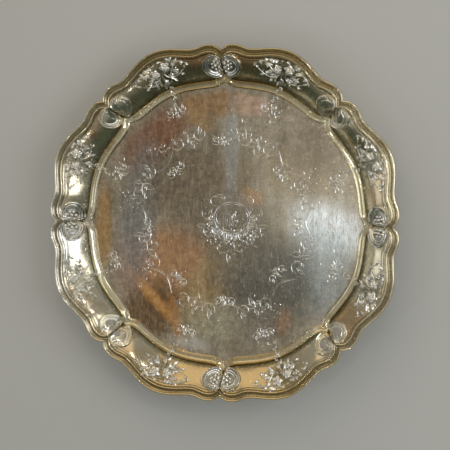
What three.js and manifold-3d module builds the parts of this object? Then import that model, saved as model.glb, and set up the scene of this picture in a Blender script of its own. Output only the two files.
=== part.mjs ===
// A shaped circular silver salver standing on its four feet: a flat well, eight raised border
// panels mitred at eight notches, a reeded rim, a double-ridge moulding round the well, relief
// ornaments soldered on the border, and four cast scroll feet.
// Millimetres, +Z up. The origin is on the table under the middle of the well.

import * as THREE from 'three';
import { mergeVertices } from 'three/addons/utils/BufferGeometryUtils.js';
import Module from 'manifold-3d';

const wasm = await Module();
wasm.setup();

// Plan. Angles are in degrees from the nearest notch; drops are measured from the shoulder.
const panelCount = 8;
const shoulderRadius = 200;
const notchDrop = 12.4;
const earDrop = 6.2;
const waistDrop = 9;
const earAngle = 4.5;
const waistAngle = 9.5;
const lobeFullness = 0.85;
const borderWidth = 50;
const wellCusp = 3.2;
const wellHollow = 2.4;
const wellHollowAngle = 6;

// Heights and sheet metal
const footHeight = 22;
const plateThickness = 1.8;
const seatDepth = 0.8;
const sheetThickness = 1.5;
const fieldFoot = 4;
const fieldTop = 22;
const fieldSteepness = 1.6;
const jointGap = 0.3;

// Mouldings
const rimWidth = 9;
const rimLip = 2.6;
const rimRebate = 1.1;
const rimBeadHeight = 2.5;
const rimBeadWidth = 3.4;
const rimReedWidth = 2.4;
const rimReedDrop = 0.6;
const rimChannelDepth = 1.7;
const rimSkirt = 2.8;
const wellMouldingWidth = 9;
const innerRidgeHeight = 2.2;
const outerRidgeHeight = 4.8;
const outerRidgeRound = 0.3;
const innerEdgeHeight = 0.6;
const rimMitreStretch = 1.32;
const wellMitreStretch = 1.22;
const mitreStretchAngle = 3;

// Ornaments on the border
const reliefRoot = 3;
const shellLength = 11;
const shellWidth = 9.5;
const shellHeight = 2.4;
const bossLength = 10;
const bossWidth = 9;
const bossHeight = 1.6;
const ornamentToMitre = 1;
const roseRadius = 5.2;
const roseHeight = 1.9;
const rosePetals = 5;
const roseBevel = 1;
const roseFlare = 1.4;
const leafLength = 11;
const leafWidth = 4.6;
const leafHeight = 1.2;
const pearlRadius = 1.7;
const pearlPlaces = [[-0.35, 0.62], [0.1, 0.72], [0.5, 0.5], [0.05, 0.32]];

// Feet
const footRadius = 138;
const footWidth = 11;
const footSpread = 17;
const footPadLength = 15;
const footPadWidth = 10;
const footPadThickness = 2;
const footToeRadius = 7;
const footToeHeight = 2.5;
const footAnkle = 8;
const footKneeDrop = 9;
const footKneeReach = 4;
const footOverlap = 0.5;

// Facets
const sweepSteps = 12;
const stationBias = 1.5;
const fieldStations = [0, 0.22, 0.48, 0.75, 1];

const panelAngle = 360 / panelCount;
const halfPanel = panelAngle / 2;
const wellFace = footHeight + plateThickness;
const flangeTop = fieldTop - rimRebate;
const fieldWidth = borderWidth - rimWidth - wellMouldingWidth - 2 * jointGap;
const { degToRad, lerp, clamp } = THREE.MathUtils;

// Eases from 0 to 1 with no slope at either end.
const swell = (share) => (1 - Math.cos(Math.PI * share)) / 2;

// Eases from 0 to 1, steep at first and level at the end.
const settle = (share, power) => 1 - (1 - share) ** power;

// Outline of the rim: up from the notch to the ear, down to the waist, out to the shoulder.
function rimRadius(fold) {
  const notch = shoulderRadius - notchDrop;
  const ear = shoulderRadius - earDrop;
  const waist = shoulderRadius - waistDrop;
  if (fold < earAngle) return lerp(notch, ear, settle(fold / earAngle, 2.5));
  if (fold < waistAngle) return lerp(ear, waist, swell((fold - earAngle) / (waistAngle - earAngle)));
  const share = (fold - waistAngle) / (halfPanel - waistAngle);
  return lerp(waist, shoulderRadius, swell(share ** lobeFullness));
}

// Edge of the flat well: a cusp at each notch, drawn in beside it, full at mid panel.
function wellRadius(fold) {
  const middle = shoulderRadius - borderWidth;
  const hollow = middle - wellHollow;
  if (fold < wellHollowAngle) return lerp(middle + wellCusp, hollow, settle(fold / wellHollowAngle, 2));
  return lerp(hollow, middle, swell((fold - wellHollowAngle) / (halfPanel - wellHollowAngle)));
}

// Lines beside an edge spread near the mitre, where the edge crosses it at a slant.
function stretch(fold, atMitre) {
  return lerp(atMitre, 1, settle(Math.min(fold / mitreStretchAngle, 1), 2));
}

const besideRim = (fold, offset) => rimRadius(fold) + offset * stretch(fold, rimMitreStretch);
const besideWell = (fold, offset) => wellRadius(fold) + offset * stretch(fold, wellMitreStretch);
const fieldInner = (fold) => besideWell(fold, wellMouldingWidth + jointGap);
const fieldOuter = (fold) => besideRim(fold, -rimWidth - jointGap);

// Height of the border field over the well face, for a share of the way out across it.
const fieldHeight = (share) => lerp(fieldFoot, fieldTop, settle(share, fieldSteepness));

function borderHeight(x, y) {
  const turn = THREE.MathUtils.euclideanModulo(Math.atan2(y, x) * THREE.MathUtils.RAD2DEG, panelAngle);
  const fold = Math.min(turn, panelAngle - turn);
  const share = (Math.hypot(x, y) - fieldInner(fold)) / (fieldOuter(fold) - fieldInner(fold));
  return fieldHeight(clamp(share, 0, 1));
}

function shapeOf(points) {
  return new THREE.Shape(points.map(([x, y]) => new THREE.Vector2(x, y)));
}

// Sweeps a section (across, height) round one panel. radiusAt gives the radius of a point of the
// section at each angle; the stations crowd towards the notches, where the outline turns fastest.
function sweepPanel(section, radiusAt) {
  const geometry = new THREE.ExtrudeGeometry(shapeOf(section), {
    depth: 1, steps: sweepSteps, bevelEnabled: false,
  });
  const position = geometry.attributes.position;
  const firstFold = (jointGap / 2 / (shoulderRadius - borderWidth)) * THREE.MathUtils.RAD2DEG;
  for (let i = 0; i < position.count; i += 1) {
    const along = 1 - position.getZ(i);
    const fromEnd = 2 * Math.min(along, 1 - along);
    const fold = lerp(firstFold, halfPanel, fromEnd ** stationBias);
    const turn = degToRad(along < 0.5 ? fold : panelAngle - fold);
    const radius = radiusAt(fold, position.getX(i));
    position.setXYZ(i, radius * Math.cos(turn), radius * Math.sin(turn), position.getY(i));
  }
  return geometry;
}

function solidOf(geometry) {
  const bare = geometry.clone();
  bare.deleteAttribute('normal');
  bare.deleteAttribute('uv');
  const merged = mergeVertices(bare, 1e-4);
  return new wasm.Manifold(new wasm.Mesh({
    numProp: 3,
    vertProperties: Float32Array.from(merged.attributes.position.array),
    triVerts: Uint32Array.from(merged.index.array),
  }));
}

function geometryOf(solid) {
  const mesh = solid.getMesh();
  const geometry = new THREE.BufferGeometry();
  geometry.setAttribute('position', new THREE.BufferAttribute(Float32Array.from(mesh.vertProperties), 3));
  geometry.setIndex(new THREE.BufferAttribute(Uint32Array.from(mesh.triVerts), 1));
  geometry.computeVertexNormals();
  return geometry;
}

const joined = (geometries) => geometries.map(solidOf).reduce((whole, piece) => whole.add(piece));

// The round of a well-shaped outline, moved out by an offset.
function wellOutline(offset) {
  const points = [];
  for (let step = 0; step < panelCount * sweepSteps; step += 1) {
    const along = (step % sweepSteps) / sweepSteps;
    const fold = halfPanel * (2 * Math.min(along, 1 - along)) ** stationBias;
    const turn = (Math.floor(step / sweepSteps)) * panelAngle + (along < 0.5 ? fold : panelAngle - fold);
    const radius = besideWell(fold, offset);
    points.push([radius * Math.cos(degToRad(turn)), radius * Math.sin(degToRad(turn))]);
  }
  return shapeOf(points);
}

// Flat well with a lower seat round its edge that carries the well moulding.
function wellPlate() {
  const face = new THREE.ExtrudeGeometry(wellOutline(0), { depth: plateThickness, bevelEnabled: false });
  const seat = new THREE.ExtrudeGeometry(wellOutline(wellMouldingWidth), {
    depth: plateThickness - seatDepth, bevelEnabled: false,
  });
  return geometryOf(joined([face, seat])).translate(0, 0, -plateThickness);
}

// Radius on a border panel: 0 to 1 across the field, 1 to 2 across the flange under the rim.
function panelRadius(fold, across) {
  if (across <= 1) return lerp(fieldInner(fold), fieldOuter(fold), across);
  return lerp(fieldOuter(fold), besideRim(fold, -rimLip - jointGap), across - 1);
}

function borderPanel() {
  const slopeAt = (share) => (fieldHeight(share + 0.01) - fieldHeight(share - 0.01)) / (0.02 * fieldWidth);
  const face = fieldStations.map((share) => [share, fieldHeight(share)]);
  const back = fieldStations.slice(1, -1).reverse()
    .map((share) => [share, fieldHeight(share) - sheetThickness * Math.hypot(1, slopeAt(share))]);
  const flangeBack = flangeTop - sheetThickness;
  const footShare = sheetThickness / fieldWidth;
  return sweepPanel([
    ...face, [1, flangeTop], [2, flangeTop], [2, flangeBack], [1, flangeBack], ...back,
    [footShare, fieldFoot - 2 * sheetThickness], [footShare, -plateThickness], [0, -plateThickness],
  ], panelRadius);
}

// Reeded rim: outer bead, hollow channel and inner bead, with a lip over the panel's edge.
function rimMoulding() {
  const seat = flangeTop + jointGap;
  const bead = fieldTop + rimBeadHeight;
  const channel = bead - rimChannelDepth;
  return sweepPanel([
    [-rimWidth, seat], [-rimLip, seat], [-rimLip, seat - rimSkirt], [0, seat - rimSkirt],
    [0, channel], [-0.25 * rimBeadWidth, lerp(channel, bead, 0.88)], [-0.6 * rimBeadWidth, bead],
    [-rimBeadWidth, channel], [rimReedWidth - rimWidth, channel],
    [0.4 * rimReedWidth - rimWidth, bead - rimReedDrop], [-rimWidth, channel],
  ], besideRim);
}

// Two ridges with a sloping band between them, on the seat round the well.
function wellMoulding() {
  const seat = -seatDepth + jointGap;
  const share = (part) => part * wellMouldingWidth;
  return sweepPanel([
    [jointGap, seat], [share(1), seat], [share(1), fieldFoot], [share(0.9), outerRidgeHeight],
    [share(0.75), outerRidgeHeight - outerRidgeRound], [share(0.6), innerRidgeHeight],
    [share(0.2), innerRidgeHeight], [jointGap, innerEdgeHeight],
  ], besideWell);
}

// Everything that an ornament must stay clear of: the field below it and the mouldings beside it.
function borderBlank() {
  const deep = -40;
  const high = 60;
  const beyond = 30;
  const section = [
    [-1, deep], [2, deep], [2, high], [1, high],
    ...fieldStations.map((share) => [share, fieldHeight(share) + jointGap]).reverse(),
    [0, high], [-1, high],
  ];
  const radiusAt = (fold, across) => {
    if (across < 0) return fieldInner(fold) + across * beyond;
    if (across > 1) return fieldOuter(fold) + (across - 1) * beyond;
    return panelRadius(fold, across);
  };
  return solidOf(sweepPanel(section, radiusAt));
}

const blank = borderBlank();

// Sets flat relief work (its root below z = 0) at a place on the border: lays it over the slope
// of the field, then trims its back to fit and its rim clear of the mouldings.
function seatOnBorder(solid, radius, turn) {
  const geometry = geometryOf(solid).translate(radius, 0, 0).rotateZ(turn);
  const position = geometry.attributes.position;
  for (let i = 0; i < position.count; i += 1) {
    position.setZ(i, position.getZ(i) + borderHeight(position.getX(i), position.getY(i)));
  }
  return geometryOf(solidOf(geometry).subtract(blank));
}

// A disc with raised rings, oval in plan, standing on a plain root.
function ringedDisc(rings, height, segments) {
  const profile = [[0, -reliefRoot], [1, -reliefRoot], ...rings.map(([part, rise]) => [part, rise * height])];
  const points = profile.map(([x, y]) => new THREE.Vector2(x, y));
  return new THREE.LatheGeometry(points, segments).rotateX(Math.PI / 2);
}

// Seats an ornament of a given half length just clear of a mitre, in the middle of the field.
// side is 1 at the panel's first mitre and -1 at its last.
function seatAtMitre(solid, halfLength, side) {
  const turn = Math.atan2(halfLength + ornamentToMitre, shoulderRadius - borderWidth / 2);
  const fold = THREE.MathUtils.radToDeg(turn);
  const radius = (fieldInner(fold) + fieldOuter(fold)) / 2;
  return seatOnBorder(solid, radius, side > 0 ? turn : degToRad(panelAngle) - turn);
}

const shellRings = [[1, 0.4], [0.82, 0.8], [0.62, 0.5], [0.4, 0.95], [0, 1]];
const bossRings = [[1, 0.4], [0.75, 0.9], [0, 1]];

// A shell of C-shaped rings, with a cluster of pearls on the side next to the mitre.
function shell(side) {
  const disc = ringedDisc(shellRings, shellHeight, 12).scale(shellWidth, shellLength, 1);
  const pearls = pearlPlaces.map(([across, along]) => new THREE.SphereGeometry(pearlRadius, 6, 4)
    .translate(across * shellWidth, -side * along * shellLength, shellHeight * 0.7));
  return seatAtMitre(joined([disc, ...pearls]), shellLength, side);
}

function scrollBoss(side) {
  const disc = ringedDisc(bossRings, bossHeight, 12).scale(bossWidth, bossLength, 1);
  return seatAtMitre(solidOf(disc), bossLength, side);
}

function rose() {
  const points = [];
  for (let step = 0; step < 3 * rosePetals; step += 1) {
    const angle = (step / (3 * rosePetals)) * 2 * Math.PI;
    const reach = roseRadius * (0.86 + 0.14 * Math.cos(rosePetals * angle));
    points.push([reach * Math.cos(angle), reach * Math.sin(angle)]);
  }
  return new THREE.ExtrudeGeometry(shapeOf(points), {
    depth: reliefRoot + roseHeight - roseBevel, bevelThickness: roseBevel,
    bevelSize: roseFlare, bevelOffset: -roseFlare, bevelSegments: 1,
  }).translate(0, 0, -reliefRoot);
}

// A pointed leaf that starts at (x, y) and points along the given angle.
function leaf(x, y, angle) {
  const shape = new THREE.Shape();
  shape.moveTo(0, 0);
  shape.quadraticCurveTo(leafLength * 0.45, leafWidth, leafLength, 0);
  shape.quadraticCurveTo(leafLength * 0.45, -leafWidth, 0, 0);
  return new THREE.ExtrudeGeometry(shape, {
    depth: reliefRoot + leafHeight, curveSegments: 4, bevelEnabled: false,
  }).rotateZ(degToRad(angle)).translate(x, y, -reliefRoot);
}

// Two roses near the rim, leaves beside them and two running in towards the well.
function flowerSpray() {
  const beside = roseRadius * 0.7;
  const spray = joined([
    rose().translate(beside, -beside, 0),
    rose().rotateZ(0.6).translate(0, beside, 0),
    leaf(0, 0, 160),
    leaf(0, 0, 205),
    leaf(0, beside, 80),
    leaf(beside, -beside, -80),
  ]);
  const radius = lerp(fieldInner(halfPanel), fieldOuter(halfPanel), 0.55);
  return seatOnBorder(spray, radius, degToRad(halfPanel));
}

// A cast scroll: a leaf-shaped pad under the plate, a curled leg and a flat toe.
function foot() {
  const top = footHeight - jointGap;
  const pad = new THREE.CylinderGeometry(1, 1, footPadThickness, 14).rotateX(Math.PI / 2)
    .scale(footPadLength, footPadWidth, 1).translate(0, 0, top - footPadThickness / 2);
  const join = top - footOverlap;
  const sole = footToeHeight - 3 * footOverlap;
  const leg = new THREE.Shape();
  leg.moveTo(-footPadLength * 0.5, join);
  leg.bezierCurveTo(
    -footPadLength * 0.6, top - footKneeDrop, footKneeReach, top - footKneeDrop,
    footSpread - footAnkle / 2, sole,
  );
  leg.lineTo(footSpread + footAnkle / 2, sole);
  leg.bezierCurveTo(footSpread, top * 0.5, footPadLength * 0.9, top * 0.55, footPadLength * 0.6, join);
  const curl = new THREE.ExtrudeGeometry(leg, {
    depth: footWidth, curveSegments: 6, bevelEnabled: false,
  }).translate(0, 0, -footWidth / 2).rotateX(Math.PI / 2);
  const toe = new THREE.CylinderGeometry(footToeRadius * 0.85, footToeRadius, footToeHeight, 14)
    .rotateX(Math.PI / 2).translate(footSpread, 0, footToeHeight / 2);
  return geometryOf(joined([pad, curl, toe])).translate(footRadius, 0, 0);
}

const metals = {
  well: { color: 0x8d8270, roughness: 0.32 },
  border: { color: 0xa39c84, roughness: 0.26 },
  moulding: { color: 0xb5ad8c, roughness: 0.2 },
  ornament: { color: 0xbfbcae, roughness: 0.24 },
  foot: { color: 0x9a917a, roughness: 0.3 },
};

function piece(name, geometry, metal) {
  const mesh = new THREE.Mesh(geometry, new THREE.MeshStandardMaterial({ ...metals[metal], metalness: 1 }));
  mesh.name = name;
  return mesh;
}

const salver = new THREE.Group();
const tray = new THREE.Group();
tray.position.z = wellFace;
salver.add(tray);
tray.add(piece('well_plate', wellPlate(), 'well'));

for (let index = 0; index < panelCount; index += 1) {
  const number = index + 1;
  const shellSide = index % 2 === 0 ? 1 : -1;
  const panel = new THREE.Group();
  panel.rotation.z = degToRad(index * panelAngle);
  panel.add(
    piece(`border_panel_${number}`, borderPanel(), 'border'),
    piece(`rim_moulding_${number}`, rimMoulding(), 'moulding'),
    piece(`well_moulding_${number}`, wellMoulding(), 'moulding'),
    piece(`flower_spray_${number}`, flowerSpray(), 'ornament'),
    piece(`shell_${number}`, shell(shellSide), 'ornament'),
    piece(`scroll_boss_${number}`, scrollBoss(-shellSide), 'ornament'),
  );
  tray.add(panel);
}

for (let quarter = 0; quarter < 4; quarter += 1) {
  const corner = new THREE.Group();
  corner.rotation.z = degToRad(quarter * 90 + 45);
  corner.add(piece(`foot_${quarter + 1}`, foot(), 'foot'));
  salver.add(corner);
}

export default salver;
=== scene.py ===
"""Looks of a shaped circular silver salver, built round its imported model.

The salver stands on its four feet, +Z up, in metres. Its well is flat; eight border panels
rise from it to a reeded rim and meet at eight notches. Shells stand beside the four main
notches and smooth scroll bosses beside the four minor ones, and a spray of flowers grows
across the middle of each panel. Plan angles are in degrees from the nearest notch ("fold").
"""

from __future__ import annotations

import logging
import math
import random
from dataclasses import dataclass, field
from enum import Enum
from typing import Callable, Sequence

import bmesh
import bpy
from mathutils import Matrix, Vector, noise


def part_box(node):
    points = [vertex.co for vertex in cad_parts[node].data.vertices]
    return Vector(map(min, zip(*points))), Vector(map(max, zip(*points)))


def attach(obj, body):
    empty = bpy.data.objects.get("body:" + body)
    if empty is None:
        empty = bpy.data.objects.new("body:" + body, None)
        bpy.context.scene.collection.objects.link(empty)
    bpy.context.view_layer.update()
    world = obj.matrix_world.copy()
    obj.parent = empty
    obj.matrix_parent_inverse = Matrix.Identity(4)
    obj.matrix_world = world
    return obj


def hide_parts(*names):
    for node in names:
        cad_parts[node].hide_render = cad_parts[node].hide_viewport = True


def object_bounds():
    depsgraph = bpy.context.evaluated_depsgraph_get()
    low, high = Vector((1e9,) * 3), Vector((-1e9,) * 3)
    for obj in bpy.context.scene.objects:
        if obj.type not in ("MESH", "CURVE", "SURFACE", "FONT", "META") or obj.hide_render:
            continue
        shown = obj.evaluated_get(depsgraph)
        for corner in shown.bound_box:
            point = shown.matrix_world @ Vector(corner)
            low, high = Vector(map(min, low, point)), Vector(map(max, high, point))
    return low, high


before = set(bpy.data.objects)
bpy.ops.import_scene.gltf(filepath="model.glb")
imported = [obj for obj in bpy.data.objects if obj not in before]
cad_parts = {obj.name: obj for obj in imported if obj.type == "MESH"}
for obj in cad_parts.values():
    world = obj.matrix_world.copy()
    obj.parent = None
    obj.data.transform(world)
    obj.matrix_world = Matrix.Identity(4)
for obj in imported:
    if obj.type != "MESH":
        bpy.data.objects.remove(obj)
CAD_LOW, CAD_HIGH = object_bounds()

LOG = logging.getLogger("salver")
MM = 0.001
BODY = "root"
FEET = 4
Point2 = tuple[float, float]
Colour = tuple[float, float, float]
Socket = bpy.types.NodeSocket


def swell(share: float) -> float:
    """Eases from 0 to 1 with no slope at either end."""
    return (1 - math.cos(math.pi * share)) / 2


def settle(share: float, power: float) -> float:
    """Eases from 0 to 1, steep at first and level at the end."""
    return 1 - (1 - share) ** power


def mix(low: float, high: float, share: float) -> float:
    """The value a given share of the way from low to high."""
    return low + (high - low) * share


def limit(value: float, low: float = 0.0, high: float = 1.0) -> float:
    """The value kept between low and high."""
    return max(low, min(high, value))


def ridge(place: float, centre: float, half_width: float) -> float:
    """A rounded ridge of height 1 at centre that dies away at half_width."""
    away = abs(place - centre) / half_width
    return swell(1 - away) if away < 1 else 0.0


class NotchKind(Enum):
    """Which ornament stands beside a notch."""

    MAIN = "shell"
    MINOR = "scroll_boss"


@dataclass(frozen=True)
class SalverPlan:
    """The salver's driving sizes and the curves that follow from them."""

    panels: int = 8
    shoulder_radius: float = 200 * MM
    notch_drop: float = 12.4 * MM
    ear_drop: float = 6.2 * MM
    waist_drop: float = 9 * MM
    ear_angle: float = 4.5
    waist_angle: float = 9.5
    lobe_fullness: float = 0.85
    border_width: float = 50 * MM
    well_cusp: float = 3.2 * MM
    well_hollow: float = 2.4 * MM
    well_hollow_angle: float = 6.0
    plate_thickness: float = 1.8 * MM
    seat_depth: float = 0.8 * MM
    sheet_thickness: float = 1.5 * MM
    field_foot: float = 4 * MM
    field_foot_at_notch: float = 1.6 * MM
    field_top: float = 22 * MM
    field_steepness: float = 1.6
    rim_width: float = 9 * MM
    rim_rise: float = 2.5 * MM
    moulding_width: float = 9.2 * MM
    outer_ridge: float = 4.9 * MM
    inner_ridge: float = 2.3 * MM
    inner_ridge_place: float = 0.16
    outer_ridge_place: float = 0.86
    outer_ridge_half: float = 0.13
    ridge_foot: float = 0.42
    reed_place: float = 0.63
    reed_half: float = 0.05
    reed_height: float = 0.35 * MM
    moulding_at_mitre: float = 0.35
    rim_mitre_stretch: float = 1.32
    well_mitre_stretch: float = 1.22
    stretch_angle: float = 3.0
    fade_angle: float = 4.0
    well_face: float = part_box("well_plate")[1].z

    @property
    def panel_angle(self) -> float:
        """Degrees taken by one panel."""
        return 360 / self.panels

    @property
    def half_panel(self) -> float:
        """Degrees from a notch to the middle of a panel."""
        return self.panel_angle / 2

    def fold_of(self, turn: float) -> float:
        """Degrees from the nearest notch, for a plan angle in degrees."""
        within = turn % self.panel_angle
        return min(within, self.panel_angle - within)

    def rim_radius(self, fold: float) -> float:
        """Outline of the rim: notch, ear, waist and shoulder.

        Args:
            fold: degrees from the nearest notch.

        Returns:
            The radius, in metres.
        """
        shoulder = self.shoulder_radius
        ear, waist = shoulder - self.ear_drop, shoulder - self.waist_drop
        if fold < self.ear_angle:
            return mix(shoulder - self.notch_drop, ear, settle(fold / self.ear_angle, 2.5))
        if fold < self.waist_angle:
            return mix(ear, waist, swell((fold - self.ear_angle) / (self.waist_angle - self.ear_angle)))
        share = (fold - self.waist_angle) / (self.half_panel - self.waist_angle)
        return mix(waist, shoulder, swell(share**self.lobe_fullness))

    def well_radius(self, fold: float) -> float:
        """Edge of the flat well: a cusp at each notch, drawn in beside it.

        Args:
            fold: degrees from the nearest notch.

        Returns:
            The radius, in metres.
        """
        middle = self.shoulder_radius - self.border_width
        hollow = middle - self.well_hollow
        if fold < self.well_hollow_angle:
            return mix(middle + self.well_cusp, hollow, settle(fold / self.well_hollow_angle, 2))
        share = (fold - self.well_hollow_angle) / (self.half_panel - self.well_hollow_angle)
        return mix(hollow, middle, swell(share))

    def stretch(self, fold: float, at_mitre: float) -> float:
        """How far lines beside an edge spread where the edge crosses the mitre at a slant."""
        return mix(at_mitre, 1, settle(min(fold / self.stretch_angle, 1), 2))

    def beside_rim(self, fold: float, offset: float) -> float:
        """Radius of a line that runs beside the rim's outline."""
        return self.rim_radius(fold) + offset * self.stretch(fold, self.rim_mitre_stretch)

    def beside_well(self, fold: float, offset: float) -> float:
        """Radius of a line that runs beside the well's edge."""
        return self.well_radius(fold) + offset * self.stretch(fold, self.well_mitre_stretch)

    def field_inner(self, fold: float) -> float:
        """Radius where the border field starts."""
        return self.beside_well(fold, self.moulding_width)

    def field_outer(self, fold: float) -> float:
        """Radius where the border field ends under the rim moulding."""
        return self.beside_rim(fold, -self.rim_width)

    def notch_fade(self, fold: float) -> float:
        """0 at a notch, where the mouldings die away, and 1 clear of it."""
        return swell(min(fold / self.fade_angle, 1))

    def field_height(self, share: float, fold: float) -> float:
        """Height of the border field over the well face, for a share of the way out."""
        foot = mix(self.field_foot_at_notch, self.field_foot, self.notch_fade(fold))
        return mix(foot, self.field_top, settle(limit(share), self.field_steepness))

    def moulding_height(self, share: float, fold: float) -> float:
        """Height of the well moulding, for a share of the way across it.

        Args:
            share: share of the way across, from the well outward.
            fold: degrees from the nearest notch.

        Returns:
            The height over the well face, in metres.
        """
        lift = mix(self.moulding_at_mitre, 1, self.notch_fade(fold))
        base = self.ridge_foot * self.outer_ridge
        hollow_end, hollow_width, hollow_power, hollow_level = 0.3, 0.45, 1.7, 0.3
        climb = limit((share - hollow_end) / hollow_width) ** hollow_power
        band = mix(hollow_level * self.inner_ridge, base, climb)
        inner = ridge(share, self.inner_ridge_place, self.inner_ridge_place) * self.inner_ridge
        outer = ridge(share, self.outer_ridge_place, self.outer_ridge_half) * (self.outer_ridge - base)
        reed = ridge(share, self.reed_place, self.reed_half) * self.reed_height
        edge_width = 0.12
        body = band * limit(share / edge_width)
        return lift * max(body + outer + reed, inner)

    def surface(self, x: float, y: float) -> float:
        """Height of the salver's upper surface over the well face.

        Args:
            x: plan place along X.
            y: plan place along Y.

        Returns:
            The height, in metres.
        """
        fold = self.fold_of(math.degrees(math.atan2(y, x)))
        radius = math.hypot(x, y)
        inner, edge = self.field_inner(fold), self.well_radius(fold)
        if radius <= edge:
            return 0.0
        if radius < inner:
            return self.moulding_height((radius - edge) / (inner - edge), fold)
        return self.field_height((radius - inner) / (self.field_outer(fold) - inner), fold)

    def lay(self, radius: float, turn: float, lift: float) -> Vector:
        """A point lifted square off the upper surface.

        Args:
            radius: distance from the middle of the well.
            turn: plan angle in degrees.
            lift: distance off the surface.

        Returns:
            The point, in metres over the table.
        """
        reach = 0.4 * MM
        x, y = radius * math.cos(math.radians(turn)), radius * math.sin(math.radians(turn))
        here = self.surface(x, y)
        slope_x = (self.surface(x + reach, y) - here) / reach
        slope_y = (self.surface(x, y + reach) - here) / reach
        normal = Vector((-slope_x, -slope_y, 1)).normalized() if lift > 0 else Vector((0, 0, 1))
        return Vector((x, y, self.well_face + here)) + normal * lift


PLAN = SalverPlan()


# ---------------------------------------------------------------- mesh work


def spin_section(section: Sequence[Point2], degrees: float, steps: int) -> bmesh.types.BMesh:
    """Spins a closed radial section about the Z axis and closes its ends.

    Args:
        section: (radius, height) points round the section.
        degrees: how far it is spun.
        steps: number of steps in the spin.

    Returns:
        A new closed bmesh.
    """
    bm = bmesh.new()
    verts = [bm.verts.new((across, 0, height)) for across, height in section]
    edges = [bm.edges.new(pair) for pair in zip(verts, verts[1:] + verts[:1])]
    whole = degrees >= 360
    bmesh.ops.spin(
        bm, geom=verts + edges, cent=(0, 0, 0), axis=(0, 0, 1),
        angle=math.radians(degrees), steps=steps, use_merge=whole,
    )
    if whole:
        bmesh.ops.remove_doubles(bm, verts=bm.verts, dist=1e-6)
    else:
        bmesh.ops.holes_fill(bm, edges=[edge for edge in bm.edges if edge.is_boundary])
    return bm


def sweep_panel(
    section: Sequence[Point2], place: Callable[[float, float, float], tuple[float, float]],
    steps: int, bias: float = 1.35, mitre_gap: float = 0.03 * MM,
) -> bmesh.types.BMesh:
    """Sweeps a section along one panel, from its first mitre to its last.

    Args:
        section: (across, height) points, in any units that place understands.
        place: gives (radius, height) for an across, a height and a fold.
        steps: number of steps along the panel.
        bias: how strongly the steps crowd towards the notches.
        mitre_gap: the joint left between neighbouring panels.

    Returns:
        A closed bmesh of the panel that starts on the +X axis.
    """
    bm = spin_section(section, PLAN.panel_angle, steps)
    first = math.degrees(mitre_gap / 2 / PLAN.shoulder_radius)
    for vert in bm.verts:
        x, y, height = vert.co
        along = limit(math.degrees(math.atan2(y, x)) / PLAN.panel_angle)
        fold = mix(first, PLAN.half_panel, (2 * min(along, 1 - along)) ** bias)
        turn = math.radians(fold if along < 0.5 else PLAN.panel_angle - fold)
        radius, level = place(math.hypot(x, y), height, fold)
        vert.co = (radius * math.cos(turn), radius * math.sin(turn), PLAN.well_face + level)
    return bm


def absorb(bm: bmesh.types.BMesh, part: bmesh.types.BMesh) -> None:
    """Moves a small part into a larger mesh.

    Args:
        bm: the larger mesh.
        part: the small one, which is used up.
    """
    spare = bpy.data.meshes.new("part")
    part.to_mesh(spare)
    part.free()
    bm.from_mesh(spare)
    bpy.data.meshes.remove(spare)


def run_bar(
    bm: bmesh.types.BMesh, path: Sequence[Vector], halves: Sequence[Point2], sides: int = 8,
    cross: Vector | None = None,
) -> None:
    """Extrudes an oval bar along a path and closes its ends.

    Args:
        bm: the mesh to add it to.
        path: points along the bar.
        halves: half width (in plan) and half height of the bar at each point.
        sides: sides of its section.
        cross: the way its width points, or None to keep its width level and square to the path.
    """
    bar = bmesh.new()
    ring = bmesh.ops.create_circle(bar, cap_ends=False, radius=1, segments=sides)["verts"]
    unit = [vert.co.copy() for vert in ring]
    edges = list(bar.edges)
    for index, (point, (wide, high)) in enumerate(zip(path, halves)):
        ahead = path[min(index + 1, len(path) - 1)] - path[max(index - 1, 0)]
        side = cross or Vector((-ahead.y, ahead.x, 0)).normalized()
        above = side.cross(ahead).normalized()
        if index:
            grown = bmesh.ops.extrude_edge_only(bar, edges=edges)["geom"]
            fresh = {item for item in grown if isinstance(item, bmesh.types.BMVert)}
            edges = [item for item in grown if isinstance(item, bmesh.types.BMEdge)
                     and all(vert in fresh for vert in item.verts)]
            ring = [next(edge.other_vert(vert) for edge in vert.link_edges
                         if edge.other_vert(vert) in fresh) for vert in ring]
        for vert, corner in zip(ring, unit):
            vert.co = point + side * (corner.x * wide) + above * (corner.y * high)
    bmesh.ops.holes_fill(bar, edges=[edge for edge in bar.edges if edge.is_boundary])
    absorb(bm, bar)


def turn_about(bm: bmesh.types.BMesh, verts: Sequence[bmesh.types.BMVert], degrees: float) -> None:
    """Turns vertices about the Z axis."""
    matrix = Matrix.Rotation(math.radians(degrees), 3, "Z")
    bmesh.ops.rotate(bm, verts=verts, cent=(0, 0, 0), matrix=matrix)


def along_curve(points: Sequence[Vector], t: float) -> Vector:
    """The point a share t of the way along a cubic curve with four control points.

    Args:
        points: the four control points.
        t: the share of the way along.

    Returns:
        The point.
    """
    a, b, c, d = points
    return a * (1 - t) ** 3 + b * 3 * t * (1 - t) ** 2 + c * 3 * t * t * (1 - t) + d * t**3


def fold_at(vert: bmesh.types.BMVert) -> float:
    """Degrees from the nearest notch to a vertex."""
    return PLAN.fold_of(math.degrees(math.atan2(vert.co.y, vert.co.x)))


def add_ball(
    bm: bmesh.types.BMesh, centre: Vector, halves: Vector, turn: float = 0.0, fine: int = 2,
) -> list[bmesh.types.BMVert]:
    """Adds a squashed ball.

    Args:
        bm: the bmesh to add it to.
        centre: its middle.
        halves: its half sizes along X, Y and Z.
        turn: how far it is turned about Z, in degrees.
        fine: subdivisions of the ball.

    Returns:
        The ball's vertices.
    """
    verts = bmesh.ops.create_icosphere(bm, subdivisions=fine, radius=1)["verts"]
    bmesh.ops.scale(bm, verts=verts, vec=halves)
    turn_about(bm, verts, turn)
    bmesh.ops.translate(bm, verts=verts, vec=centre)
    return verts


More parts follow.
